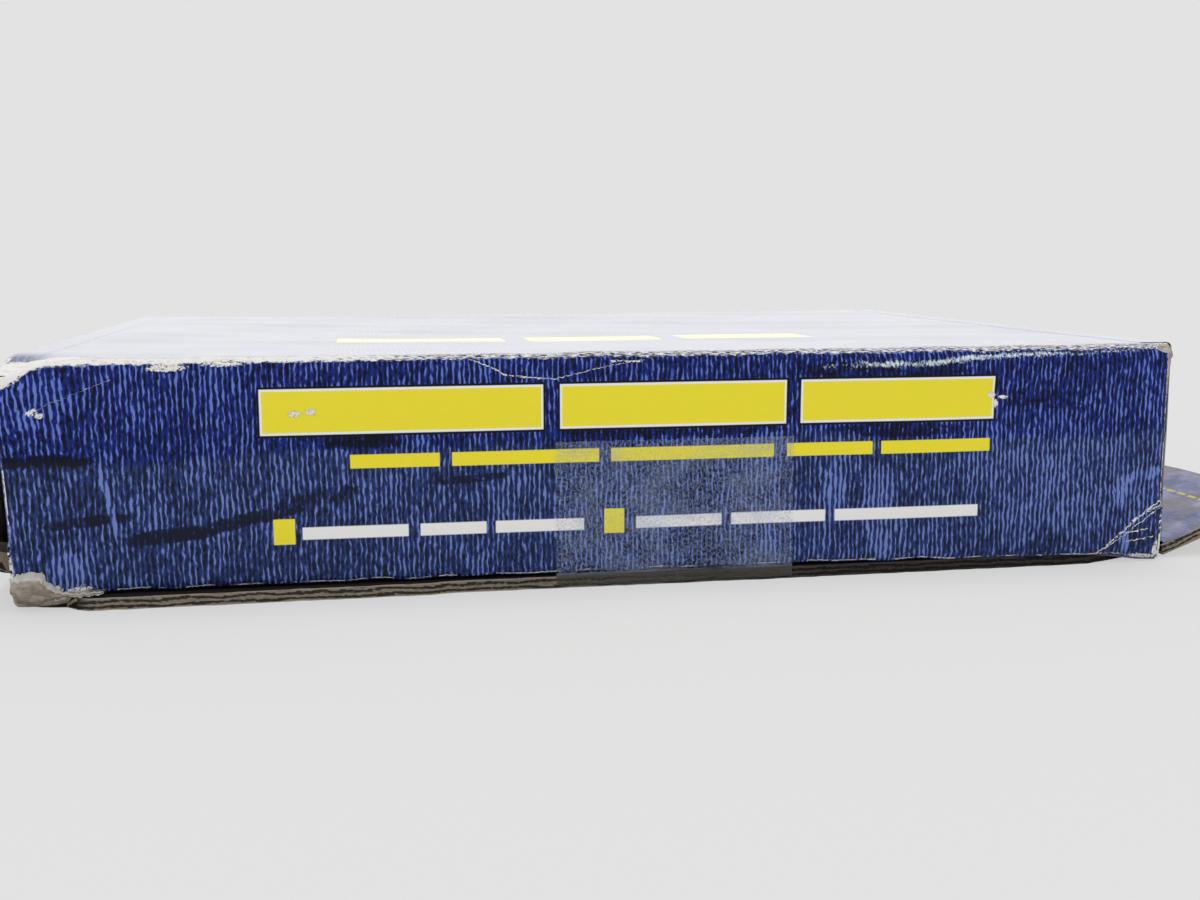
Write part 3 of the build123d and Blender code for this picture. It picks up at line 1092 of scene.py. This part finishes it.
def mashed_pulp():
    """Grey-brown paper pulp, torn and smeared."""
    finish = Finish("mashed_pulp")
    x, y, z = finish.object_place()
    lump = finish.noise(x / 4.0, z / 2.6, 1.0, detail=3.0, roughness=0.55)
    fibre = finish.noise((x + z) / 0.5, (z - y) / 0.9, 4.0, detail=3.0)
    colour = finish.mix(lump.rise(0.3, 0.68), ink(138, 127, 115), ink(178, 169, 158))
    colour = finish.mix(fibre.rise(0.55, 0.8) * 0.4, colour, ink(104, 94, 84))
    return finish.paper(colour, 0.93, lump * 0.5 + fibre * 0.3, 0.0006)


bend(wad, mashed)
wad.data.materials.append(mashed_pulp())
smooth_faces(wad, 60)
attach(wad, "carton")
print("mashed corner:", len(wad.data.polygons), "faces")

# %% [markdown]
# Over that wad lies a torn ply of the board, rolled round the corner, with a pale ragged rim that also carries
# a painted highlight. It is a grid whose rows run between two rims, an upper and a lower one, and bulge
# outwards between them. Folds in paper are sharp, so its creases come from the absolute value of a wave, which
# has a kink where the wave crosses zero. A cloth simulation would crumple it too, but not into this shape.

# %% Torn ply
PLY_LENGTH = 18.0
PLY_DROP = 7.0
PLY_PAPER = 0.4 * MM
ply_places = (-127.6, -126.0, -123.5, -121.2, -120.0, -117.5, -114.0, -109.6)
ply_upper_rim = (6.9, 7.8, 8.2, 7.9, 5.6, 3.9, 3.2, 3.5)
ply_lower_rim = (3.2, 1.7, 1.2, 1.6, 2.2, 2.5, 2.6, 3.0)
ply_bulge = (1.0, 2.2, 2.7, 2.4, 1.8, 1.2, 0.8, 0.4)
ply_curl = (0.5, 0.9, 1.0, 1.0, 0.9, 0.7, 0.5, 0.3)
torn_ply = start("torn_ply", bpy.ops.mesh.primitive_grid_add, x_subdivisions=84, y_subdivisions=44, size=1)
torn_ply.data.uv_layers.remove(torn_ply.data.uv_layers[0])
lay_print(torn_ply, lambda spot, normal: ((spot.x + 0.5) * PLY_LENGTH * MM, (0.5 - spot.y) * PLY_DROP * MM))


def rolled_round(x, y, z):
    """Rolls the ply round the corner, between its rims."""
    run = ply_places[0] + PLY_LENGTH * (x * MM + 0.5)
    share = 0.5 - y * MM
    rag = 0.35 * ripple(run, 0 * run, 2.6, 1.4) + 0.2 * ripple(run, 0 * run, 0.9, 0.2)
    upper = np.interp(run, ply_places, ply_upper_rim) + rag
    lower = np.interp(run, ply_places, ply_lower_rim) - 0.5 * rag
    new_z = upper + (lower - upper) * share
    swell = np.interp(run, ply_places, ply_bulge) * np.sin(np.pi * np.clip(share, 0, 1) ** 0.8)
    folds = abs(ripple(run, 1.4 * new_z, 7.0, 2.6)) + 0.5 * abs(ripple(1.3 * new_z, run, 3.4, 0.9))
    thick = np.interp(run, (-119, -113), (1.0, 0.35))
    curl = np.interp(run, ply_places, ply_curl) * np.exp(-(((share - 0.12) / 0.09) ** 2))
    out = 0.5 + swell + curl - thick * (0.8 * folds - 0.25)
    wrap = step_up(run, -126.4, ply_places[0])
    new_x = run + 0.6 * thick * abs(ripple(new_z, run, 5.0, 1.1)) - 0.3 * wrap
    return new_x, FRONT - out + 2.2 * wrap, np.maximum(new_z, 0.9)


def torn_paper():
    """Soft grey-beige paper, torn pale at its rim and lit there with a painted highlight, darker near its lower
    edge, with fibres drawn out along it.
    """
    finish = Finish("torn_paper")
    along, down = finish.sheet_place()
    fibre = finish.noise(along / 1.6, down / 0.35, 2.0, detail=3.0)
    cloud = finish.noise(along / 3.0, down / 2.4, 5.0, detail=2.0)
    # The pale rim is torn fibre, and also a painted highlight where the curl faces the light from above.
    rim = (down + (cloud - 0.5) * 1.2).rise(1.9, 1.1)
    colour = finish.mix(cloud.rise(0.35, 0.65), ink(146, 134, 122), ink(184, 174, 162))
    colour = finish.mix(fibre.rise(0.5, 0.75) * 0.4, colour, ink(132, 121, 110))
    colour = finish.mix(rim, colour, ink(216, 212, 205))
    colour = finish.mix((down + cloud).rise(6.0, 7.0) * 0.5, colour, ink(116, 105, 95))
    return finish.paper(colour, 0.93, fibre * 0.4 + cloud * 0.6, 0.0004)


bend(torn_ply, rolled_round)
apply_modifier(torn_ply, "SOLIDIFY", thickness=PLY_PAPER, offset=-1.0)
torn_ply.data.materials.append(torn_paper())
smooth_faces(torn_ply, 40)
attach(torn_ply, "carton")
print("torn ply:", len(torn_ply.data.polygons), "faces")

# %% [markdown]
# The flaps are short boards of their own, because they turn on hinges. Each starts as a cube of the flap's
# size: its outline is shaped, its crease rounded, and it is sliced so that it can warp. Faces are painted by
# the way they look: print outside, plain paper inside, raw board on the edges.

# %% Flap tools


def board_block(name, low, high):
    """A block of board between two corners, ready for shaping."""
    low, high = Vector(low), Vector(high)
    piece = start(name, bpy.ops.mesh.primitive_cube_add, size=1, location=(low + high) / 2)
    set_size(piece, high - low)
    for material in board_finishes:
        piece.data.materials.append(material)
    return piece


def along_top(spot):
    """How far up the sheet a point lies, on the top panel or on a flap at its ends."""
    return height + spot.y - front


def paint_faces(piece, outward, flute_run):
    """Gives each face its finish, by the way it looks."""
    depths = [spot.value for spot in piece.data.attributes["through"].data]
    for face in piece.data.polygons:
        facing = face.normal.dot(outward(face.center))
        depth = sum(depths[corner] for corner in face.vertices) / len(face.vertices)
        in_slot = abs(facing) > 0.9 and 0.05 < depth < 0.95
        if facing < -0.5 or in_slot:
            face.material_index = INSIDE
        elif facing > 0.5:
            face.material_index = PRINT
        else:
            face.material_index = FLUTES if abs(face.normal.dot(flute_run(face.center))) > 0.7 else EDGE


def place_flap(piece, body, node, turn, to):
    """Turns a finished flap about its hinge, moves it there and makes it ride on its body."""
    piece.data.transform(Matrix.Translation(to) @ Matrix.Rotation(turn, 4, "Y"))
    smooth_faces(piece)
    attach(piece, body)
    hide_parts(node)
    print(piece.name, len(piece.data.polygons), "faces")


print("flap tools ready for board", round(BOARD, 1), "mm thick")

# %% [markdown]
# Where a flap was cut across its flutes, the board is hollow: two face papers with a wavy one between them.
# The slot is an extrusion into the edge, and the wave is a strip of grid, folded by a cosine and thickened to
# paper. A picture of waves would look flat from the side, and cutting each hollow out would take far more
# faces.

# %% Open flutes
FLUTE_DEPTH = 4.0 * MM
FACE_PAPER = 0.35 * MM
FLUTE_PAPER = 0.4 * MM


def cut_slot(piece, is_cut, inward):
    """Pushes the middle of a cut edge in, between the two face papers."""
    pick(piece, "FACE", is_cut)
    bpy.ops.mesh.extrude_region_move(TRANSFORM_OT_translate={"value": inward})
    bpy.ops.mesh.select_all(action="SELECT")
    bpy.ops.mesh.normals_make_consistent(inside=False)
    done()


def wavy_paper(name, half_width, swing):
    """A strip of paper folded into flutes, which runs along y and goes into the board along x."""
    waves = round(2 * half_width / FLUTE_PITCH)
    cuts = {"x_subdivisions": 2, "y_subdivisions": 12 * waves}
    paper = start(name, bpy.ops.mesh.primitive_grid_add, size=1, location=(-FLUTE_DEPTH / 2, 0, 0), **cuts)
    set_size(paper, (FLUTE_DEPTH, 2 * half_width, 1))
    turns = math.tau * MM / FLUTE_PITCH
    bend(paper, lambda x, y, z: (x, y, swing / MM * np.cos(turns * y)))
    apply_modifier(paper, "SOLIDIFY", thickness=FLUTE_PAPER, offset=0.0)
    paper.data.materials.append(board_finishes[INSIDE])
    print(paper.name, waves, "flutes")
    return paper


def ride_with(paper, body):
    """Makes a strip of wavy paper ride on a body."""
    smooth_faces(paper, 50)
    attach(paper, body)


print("flutes", round(pitch, 1), "mm apart")

# %% [markdown]
# The right end flap hangs closed from the top panel. It is a block with a round upper edge, which is the
# knuckle of the fold, and a slight warp. A plane with Solidify would do too, but here each face's side has to
# be known, because print, paper and raw edge meet at every corner.

# %% Right end flap
FLAP_STEP = 4 * MM
KNUCKLE_SHARE = 0.98
right_drop = hinge.z - flap_low.z
half = board / 2
right_flap = board_block("right_end_board", (-half, -flap_half, -right_drop), (half, flap_half, half))
pick(right_flap, "EDGE", lambda edge: middle(edge).z > half - TINY and abs(middle(edge).y) < TINY)
bpy.ops.mesh.bevel(offset=half * KNUCKLE_SHARE, segments=4)
slice_up(right_flap, 1, spread(-flap_half, flap_half, FLAP_STEP))
slice_up(right_flap, 2, spread(-right_drop, 0, FLAP_STEP))
lay_print(right_flap, lambda spot, normal: (end_x - spot.z, along_top(spot)))
give_through(right_flap, lambda vertex: (half - vertex.co.x) / board)
paint_faces(right_flap, lambda spot: Vector((1, 0, 0)), lambda spot: Vector((0, 0, 1)))


def end_warp(x, y, z):
    """A slight warp, held at the hinge and at the crease."""
    return x + 0.25 * ripple(y, z, 60, 0.9) * step_up(z, 0, -12) * step_up(z, -47, -36), y, z


bend(right_flap, end_warp)
place_flap(right_flap, "right_flap", "right_end_flap", 0.0, hinge)

# %% [markdown]
# The right tuck flap has come out of the box and lies splayed on the table, print side up. It starts flat,
# with its hinge at the origin, where narrowing it, rounding its corners and slotting its edge are simple.
# Only then is it turned up and moved to the crease, so that no operator has to work at a slant.

# %% Right tuck flap
tuck_rise = math.radians(18)
tuck_length = 34 * MM
tuck_narrowing = (flap_half - 3 * MM) / flap_half
tuck_corner = 9 * MM
flute_half = flap_half * tuck_narrowing - tuck_corner
flute_swing = half - FACE_PAPER - FLUTE_PAPER / 2
right_tuck = board_block("right_tuck_board", (0, -flap_half, -board), (tuck_length, flap_half, 0))
pick(right_tuck, "VERT", lambda vertex: vertex.co.x > tuck_length / 2)
bpy.ops.transform.resize(value=(1, tuck_narrowing, 1), center_override=(0, 0, 0))


def is_free_corner(edge):
    """An upright edge at the free end of the tuck flap."""
    return middle(edge).x > tuck_length - TINY and abs(middle(edge).y) > flap_half / 2


pick(right_tuck, "EDGE", is_free_corner)
bpy.ops.mesh.bevel(offset=tuck_corner, segments=6)
slice_up(right_tuck, 0, spread(0, tuck_length, 2.5 * MM))
slice_up(right_tuck, 1, spread(-flap_half, flap_half, FLAP_STEP))
slice_up(right_tuck, 2, [FACE_PAPER - board, -FACE_PAPER])


def is_tuck_cut(face):
    """The free edge, between the face papers."""
    spot = middle(face)
    return face.normal.x > 0.9 and spot.x > tuck_length - TINY and -FACE_PAPER > spot.z > FACE_PAPER - board


def tuck_warp(x, y, z):
    """A flap that has lain open a long time isn't flat."""
    return x, y, z + 0.3 * ripple(x, y, 55, 2.0) * step_up(x, 2, 15)


cut_slot(right_tuck, is_tuck_cut, (-FLUTE_DEPTH, 0, 0))
lay_print(right_tuck, lambda spot, normal: (end_x + right_drop + spot.x, along_top(spot)))
give_through(right_tuck, lambda vertex: -vertex.co.z / board)
paint_faces(right_tuck, lambda spot: Vector((0, 0, 1)), lambda spot: Vector((1, 0, 0)))
bend(right_tuck, tuck_warp)
place_flap(right_tuck, "right_tuck", "right_tuck_flap", -tuck_rise, crease)

right_flutes = wavy_paper("right_tuck_flutes", flute_half, flute_swing)
right_flutes.data.transform(Matrix.Translation((tuck_length, 0, -half)))
bend(right_flutes, tuck_warp)
right_flutes.data.transform(Matrix.Translation(crease) @ Matrix.Rotation(-tuck_rise, 4, "Y"))
ride_with(right_flutes, "right_tuck")

# %% [markdown]
# The left end flap stands a little ajar, with its tuck flap folded in, so both are one piece: the tuck flap
# is extruded from the foot of the end flap's inner side, at a slant. A second block would need a joint that
# the carton doesn't have.

# %% Left end flap
left_hinge = Vector((-hinge.x, 0, hinge.z))
left_ajar = math.radians(6)
left_drop = hinge.z - board - 0.6 * MM - half
left_tuck_angle = math.radians(24)
left_tuck_way = Vector((math.cos(left_tuck_angle), 0, math.sin(left_tuck_angle)))
left_tuck_run = left_tuck_way * tuck_length
left_tuck_tip = half + left_tuck_run.x
left_flap = board_block("left_end_board", (-half, -flap_half, -left_drop - half), (half, flap_half, half))
slice_up(left_flap, 2, [half - left_drop, half - left_drop - FACE_PAPER, FACE_PAPER - half - left_drop])
pick(left_flap, "FACE", lambda face: face.normal.x > 0.9 and middle(face).z < half - left_drop)
bpy.ops.mesh.extrude_region_move(TRANSFORM_OT_translate={"value": left_tuck_run})
pick(left_flap, "VERT", lambda vertex: vertex.co.x > half + TINY)
bpy.ops.transform.resize(value=(1, tuck_narrowing, 1), center_override=(0, 0, 0))


def is_tuck_corner(edge):
    """An upright edge at the free end of the left tuck flap."""
    spot = middle(edge)
    return spot.x > left_tuck_tip - TINY and abs(spot.y) > flap_half * tuck_narrowing - TINY


pick(left_flap, "EDGE", is_tuck_corner)
bpy.ops.mesh.bevel(offset=tuck_corner, segments=6)


def is_round_edge(edge):
    """An edge along the hinge or along the fold to the tuck flap."""
    spot = middle(edge)
    along_hinge = abs(spot.y) < TINY
    at_top = spot.z > half - TINY
    at_fold = spot.x < TINY - half and spot.z < TINY - left_drop - half
    return along_hinge and (at_top or at_fold)


pick(left_flap, "EDGE", is_round_edge)
bpy.ops.mesh.bevel(offset=half * KNUCKLE_SHARE, segments=4)
slice_up(left_flap, 1, spread(-flap_half, flap_half, FLAP_STEP))
slice_up(left_flap, 2, spread(half - left_drop, 0, FLAP_STEP))


def is_left_cut(face):
    """The left tuck flap's free edge, between the face papers."""
    spot = middle(face)
    rise = spot.z - left_tuck_run.z + left_drop
    return face.normal.x > 0.9 and spot.x > left_tuck_tip - TINY and abs(rise) < half - FACE_PAPER


cut_slot(left_flap, is_left_cut, -FLUTE_DEPTH * left_tuck_way)
print("left flap shaped:", len(left_flap.data.polygons), "faces")

# %% [markdown]
# The left flap's print runs down the end flap and on under the tuck flap, so what is outside, how deep a
# point lies and where it is on the sheet all change at the fold. Its lower front corner is rubbed away. Then
# it is swung ajar, and the crushed corner of the carton presses it down too, which keeps the two together.

# %% Left end flap: print and wear


def left_depth(vertex):
    """How deep a point lies: across the flap above the fold, and up through the tuck flap past it."""
    spot = vertex.co
    if spot.x < half + TINY:
        return (spot.x + half) / board
    return (spot.z + left_drop + half - (spot.x - half) * math.tan(left_tuck_angle)) / board


def left_sheet(spot, normal):
    """Where a point of the left flap lies on the flat sheet."""
    run = -spot.z if spot.x < half + TINY else left_drop + spot.x
    return -(end_x + run), along_top(spot)


def left_outward(spot):
    """The way the print looks at a point: out at the end flap, and down at the tuck flap."""
    if spot.x < half + TINY:
        return Vector((-1, 0, 0))
    return Vector((math.sin(left_tuck_angle), 0, -math.cos(left_tuck_angle)))


lay_print(left_flap, left_sheet)
give_through(left_flap, left_depth)
paint_faces(left_flap, left_outward, lambda spot: Vector((0, 0, 1)))


def left_worn(x, y, z):
    """The lower front corner of the left flap is rubbed away."""
    low = -left_drop / MM
    side = -flap_half / MM
    corner = step_up(y, side + 17, side) * step_up(z, low + 24, low) * step_up(x, 16, BOARD)
    ragged = 1 + 0.12 * ripple(y, z, 5.0, 0.7)
    return x + 0.3 * ripple(y, z, 50, 1.7) * step_up(z, 0, -14), y, z + 8.0 * corner * ragged


bend(left_flap, left_worn)
place_flap(left_flap, "left_flap", "left_end_flap", left_ajar, left_hinge)
bend(left_flap, lambda x, y, z: (x, y, z - corner_crush(x, y, z)))

left_flutes = wavy_paper("left_tuck_flutes", flute_half, flute_swing * math.cos(left_tuck_angle))
left_tip = Matrix.Translation((left_tuck_tip, 0, left_tuck_run.z - left_drop))
left_turn = Matrix.Translation(left_hinge) @ Matrix.Rotation(left_ajar, 4, "Y")
left_flutes.data.transform(left_turn @ left_tip @ Matrix.Rotation(-left_tuck_angle, 4, "Y"))
ride_with(left_flutes, "left_flap")

# %% [markdown]
# A fold is one sheet, so the print runs on over it, while the flaps here are boards of their own. A rigid
# cover would split from the one side or the other.

# %% Fold strips
PRINT_PAPER = 0.06 * MM


def fold_strip(name, sheet_start, sheet_end):
    """A flat strip of grid as wide as a flap, with its place on the sheet: x across the fold, y along it."""
    strip = start(name, bpy.ops.mesh.primitive_grid_add, x_subdivisions=24, y_subdivisions=48, size=1)
    set_size(strip, (1, 2 * flap_half, 1))
    strip.data.uv_layers.remove(strip.data.uv_layers[0])
    sheet_run = sheet_end - sheet_start
    lay_print(strip, lambda spot, normal: (sheet_start + (spot.x + 0.5) * sheet_run, along_top(spot)))
    return strip


def close_strip(strip):
    """Thickens a laid strip to paper, gives it the print, shades it smooth and fixes it in place."""
    apply_modifier(strip, "SOLIDIFY", thickness=PRINT_PAPER, offset=-1.0)
    strip.data.materials.append(board_finishes[PRINT])
    smooth_faces(strip, 60)
    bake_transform(strip)
    print(strip.name, len(strip.data.polygons), "faces")


print("fold strips ready, as wide as a flap:", round(2e3 * flap_half), "mm")

# %% [markdown]
# Over the two hinges at the top the strip runs flat, then round the knuckle by as much as the flap turns
# down, and on down the flap. Its two borders dip a hair into the boards, so that no edge of paper stands up.
# A bent tube would need its ends trimmed to the flap's lean, which the formula knows.

# %% Paper over the hinges
PAPER_LIFT = 0.1 * MM
STRIP_DOWN = 5 * MM
STRIP_IN = 6 * MM
BORDER_DIP = 0.2
BORDER_WIDTH = 1.5


def over_knuckle(side, lean):
    """Lays a strip from the top panel over the knuckle and down a flap that leans out by an angle."""
    radius = (half + PAPER_LIFT) / MM
    inside = (STRIP_IN + hinge.x - end_x) / MM
    whole_turn = math.pi / 2 - lean
    total = inside + radius * whole_turn + STRIP_DOWN / MM

    def laid(x, y, z):
        run = (x * MM + 0.5) * total
        on_top = np.clip(run, 0, inside)
        turn = np.clip((run - inside) / radius, 0, whole_turn)
        down = np.clip(run - inside - radius * whole_turn, 0, None)
        new_x = hinge.x / MM - inside + on_top + radius * np.sin(turn) + down * math.cos(whole_turn)
        new_z = hinge.z / MM + radius * np.cos(turn) - down * math.sin(whole_turn)
        new_x = new_x - BORDER_DIP * step_up(run, total - BORDER_WIDTH, total)
        new_z = new_z - BORDER_DIP * step_up(run, BORDER_WIDTH, 0)
        return side * new_x, y, new_z

    return laid


for side, flap, lean in ((1, "right_flap", 0.0), (-1, "left_flap", left_ajar)):
    strip = fold_strip(f"{flap}_fold_paper", side * (end_x - STRIP_IN), side * (end_x + STRIP_DOWN))
    bend(strip, over_knuckle(side, lean))
    bend(strip, handled)
    if side < 0:
        pick(strip, "FACE", lambda face: True)
        bpy.ops.mesh.flip_normals()
        done()
    # The bend starts at the sleeve's edge and ends just below the knuckle
    close_strip(strip)

# %% [markdown]
# The crease between the right end flap and its tuck flap turns the other way: it is a valley. There the strip
# goes down the end flap and out over the tuck flap, through a few points measured from the crease. A line
# through points is enough, because the valley is seen only as a thin dark line.

# %% Paper in the crease
CREASE_REACH = 5.0
crease_x = np.array((0.1, 0.1, 0.35, 1.0, CREASE_REACH))
crease_z = np.array((CREASE_REACH, 1.4, 0.75, 0.55, CREASE_REACH * math.tan(tuck_rise) + 0.12))
crease_run = np.concatenate(([0], np.cumsum(np.hypot(np.diff(crease_x), np.diff(crease_z)))))


def into_crease(x, y, z):
    """Lays a strip down the right end flap and out over its tuck flap."""
    run = (x * MM + 0.5) * crease_run[-1]
    new_x = crease.x / MM + np.interp(run, crease_run, crease_x)
    return new_x, y, crease.z / MM + np.interp(run, crease_run, crease_z)


crease_top = end_x + hinge.z - crease.z - crease_z[0] * MM
crease_foot = end_x + right_drop + CREASE_REACH * MM
crease_strip = fold_strip("right_tuck_crease_paper", crease_top, crease_foot)
bend(crease_strip, into_crease)
close_strip(crease_strip)

# %% [markdown]
# The clear tape is a thin film that was rubbed down over the seam: it follows the front panel, bridges the
# gap to the bottom panel's raw edge and goes on underneath. A grid is laid along that path, a hair off the
# board. Shrinkwrap could press it on too, but it would pull the film into the gap that it bridges.

# %% Clear tape: film laid on
TAPE_FILM = 0.05 * MM
tape_low, tape_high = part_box("clear_tape")
tape_bend = (board + fold_radius) / MM
tape_under = (tape_high.y - front) / MM
tape = start("clear_tape_film", bpy.ops.mesh.primitive_grid_add, x_subdivisions=44, y_subdivisions=70, size=1)
tape_width = (tape_high.x - tape_low.x) / MM
tape_down = tape_high.z / MM - tape_bend
tape_bridge = tape_bend + 0.6
tape_run = tape_down + tape_bridge + tape_under


def rubbed_down(x, y, z):
    """Lays the grid along the tape's path."""
    across = tape_low.x / MM + (x * MM + 0.5) * tape_width
    run = (0.5 - y * MM) * tape_run
    down = np.clip(run, 0, tape_down)
    over = np.clip((run - tape_down) / tape_bridge, 0, 1)
    under = np.clip(run - tape_down - tape_bridge, 0, None)
    new_z = (tape_high.z / MM - down) * (1 - over) + 0.1 * over
    lift = 0.12 + 0.05 * ripple(across, run, 6, 2.0)
    at_front = FRONT + front_wave(across, new_z) - lift
    at_lip = FRONT - lip(across) - 0.15
    new_y = at_front * (1 - over) + at_lip * over + under
    return across, new_y, new_z


bend(tape, rubbed_down)
lay_print(tape, lambda spot, normal: (spot.x, spot.z - max(0.0, spot.y - front)))
apply_modifier(tape, "SOLIDIFY", thickness=TAPE_FILM, offset=1.0)
smooth_faces(tape)
print("tape laid:", round(tape_width), "x", round(tape_run), "mm")

# %% [markdown]
# The film is hazy rather than invisible: it took in most places, and where it didn't, it is milky, with fine
# wrinkles. Glass with a little roughness is the obvious finish, but so thin a film bends no light, so a share
# of it is simply see-through.

# %% Clear tape: finish


def tape_film():
    """Hazy clear film: see-through, a little grey, with fine wrinkles."""
    finish = Finish("clear_tape_film")
    across, along = finish.sheet_place()
    wrinkle = finish.noise(across / 3.0 + along / 9.0, along / 1.2, 2.0, detail=3.0)
    streak = finish.noise(across / 26.0, along / 0.9, 6.0, detail=2.0)
    patch = finish.noise(across / 11.0, along / 7.0, 9.0, detail=3.0)
    stuck = finish.noise(across / 0.5, along / 0.6, 13.0, detail=2.0)
    haze = stuck.rise(0.42, 0.66) * 0.16 + patch.rise(0.42, 0.66) * 0.07 + wrinkle.rise(0.5, 0.75) * 0.05
    on_edge = along.rise(3.4, 2.6)
    finish.surface(
        Base_Color=finish.mix(on_edge, ink(178, 192, 224), ink(84, 83, 75)),
        Roughness=0.3,
        Alpha=haze + on_edge * (0.15 + streak.rise(0.35, 0.65) * 0.3),
        Normal=finish.bump(wrinkle + streak * 0.5, 0.0002),
    )
    return finish.material


tape.data.materials.append(tape_film())
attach(tape, "carton")
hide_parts("clear_tape")
print("tape:", len(tape.data.polygons), "faces")

# %% [markdown]
# A plain studio: a pale floor that runs out of sight, even light from all round, one soft sun above, and a
# wide soft box low behind the carton, whose reflection lies on the varnished top. The floor's colour and the
# light give the same pale grey as the background, so there is no horizon. For the camera, most of the floor
# is that grey itself, which keeps the shadow but makes it lighter. The soft box only makes the gleam, and the
# sun none.

# %% Floor and light
SHARE_OF_BACKDROP = 0.7
FLOOR_GREY = (0.8, 0.8, 0.8)
BACKDROP_GREY = (0.76, 0.76, 0.76)
SKY_GREY = (0.768, 0.768, 0.768, 1.0)


def lamp(name, kind, energy):
    """A lamp, put into the scene."""
    made = bpy.data.objects.new(name, bpy.data.lights.new(name, kind))
    made.data.energy = energy
    bpy.context.scene.collection.objects.link(made)
    return made


floor = start("floor", bpy.ops.mesh.primitive_plane_add, size=60)
floor_finish = Finish("pale_floor")
floor_finish.surface(Base_Color=FLOOR_GREY, Roughness=1.0, Specular_IOR_Level=0.0)
ray_kinds = ("Is Camera Ray", "Is Glossy Ray", "Is Transmission Ray")
seen = sum(floor_finish.node("ShaderNodeLightPath", output=kind) for kind in ray_kinds).least(1.0)
backdrop = floor_finish.node("ShaderNodeEmission", None, {"Color": BACKDROP_GREY, "Strength": 1.0})
lit_floor = Sock(floor_finish, floor_finish.shader.outputs[0])
shaders = {0: seen * SHARE_OF_BACKDROP, 1: lit_floor, 2: backdrop}
pale_floor = floor_finish.node("ShaderNodeMixShader", None, shaders)
floor_finish.connect(floor_finish.tree.nodes["Material Output"].inputs["Surface"], pale_floor)
floor.data.materials.append(floor_finish.material)

world = bpy.data.worlds.new("even_light")
world.use_nodes = True
sky = world.node_tree.nodes["Background"]
sky.inputs["Color"].default_value = SKY_GREY
bpy.context.scene.world = world

sun = lamp("soft_sun", "SUN", 0.68)
sun.data.angle = math.radians(22)
sun.rotation_euler = (math.radians(-12), math.radians(4), 0)
sun.visible_glossy = False

softbox = lamp("back_softbox", "AREA", 4.4)
softbox.data.shape = "RECTANGLE"
softbox.data.size = 5.0
softbox.data.size_y = 0.9
softbox.location = (0.4, 2.5, 0.46)
softbox.rotation_euler = (math.radians(-90), 0, 0)
softbox.visible_camera = False
softbox.visible_diffuse = False
print("floor and lights made")
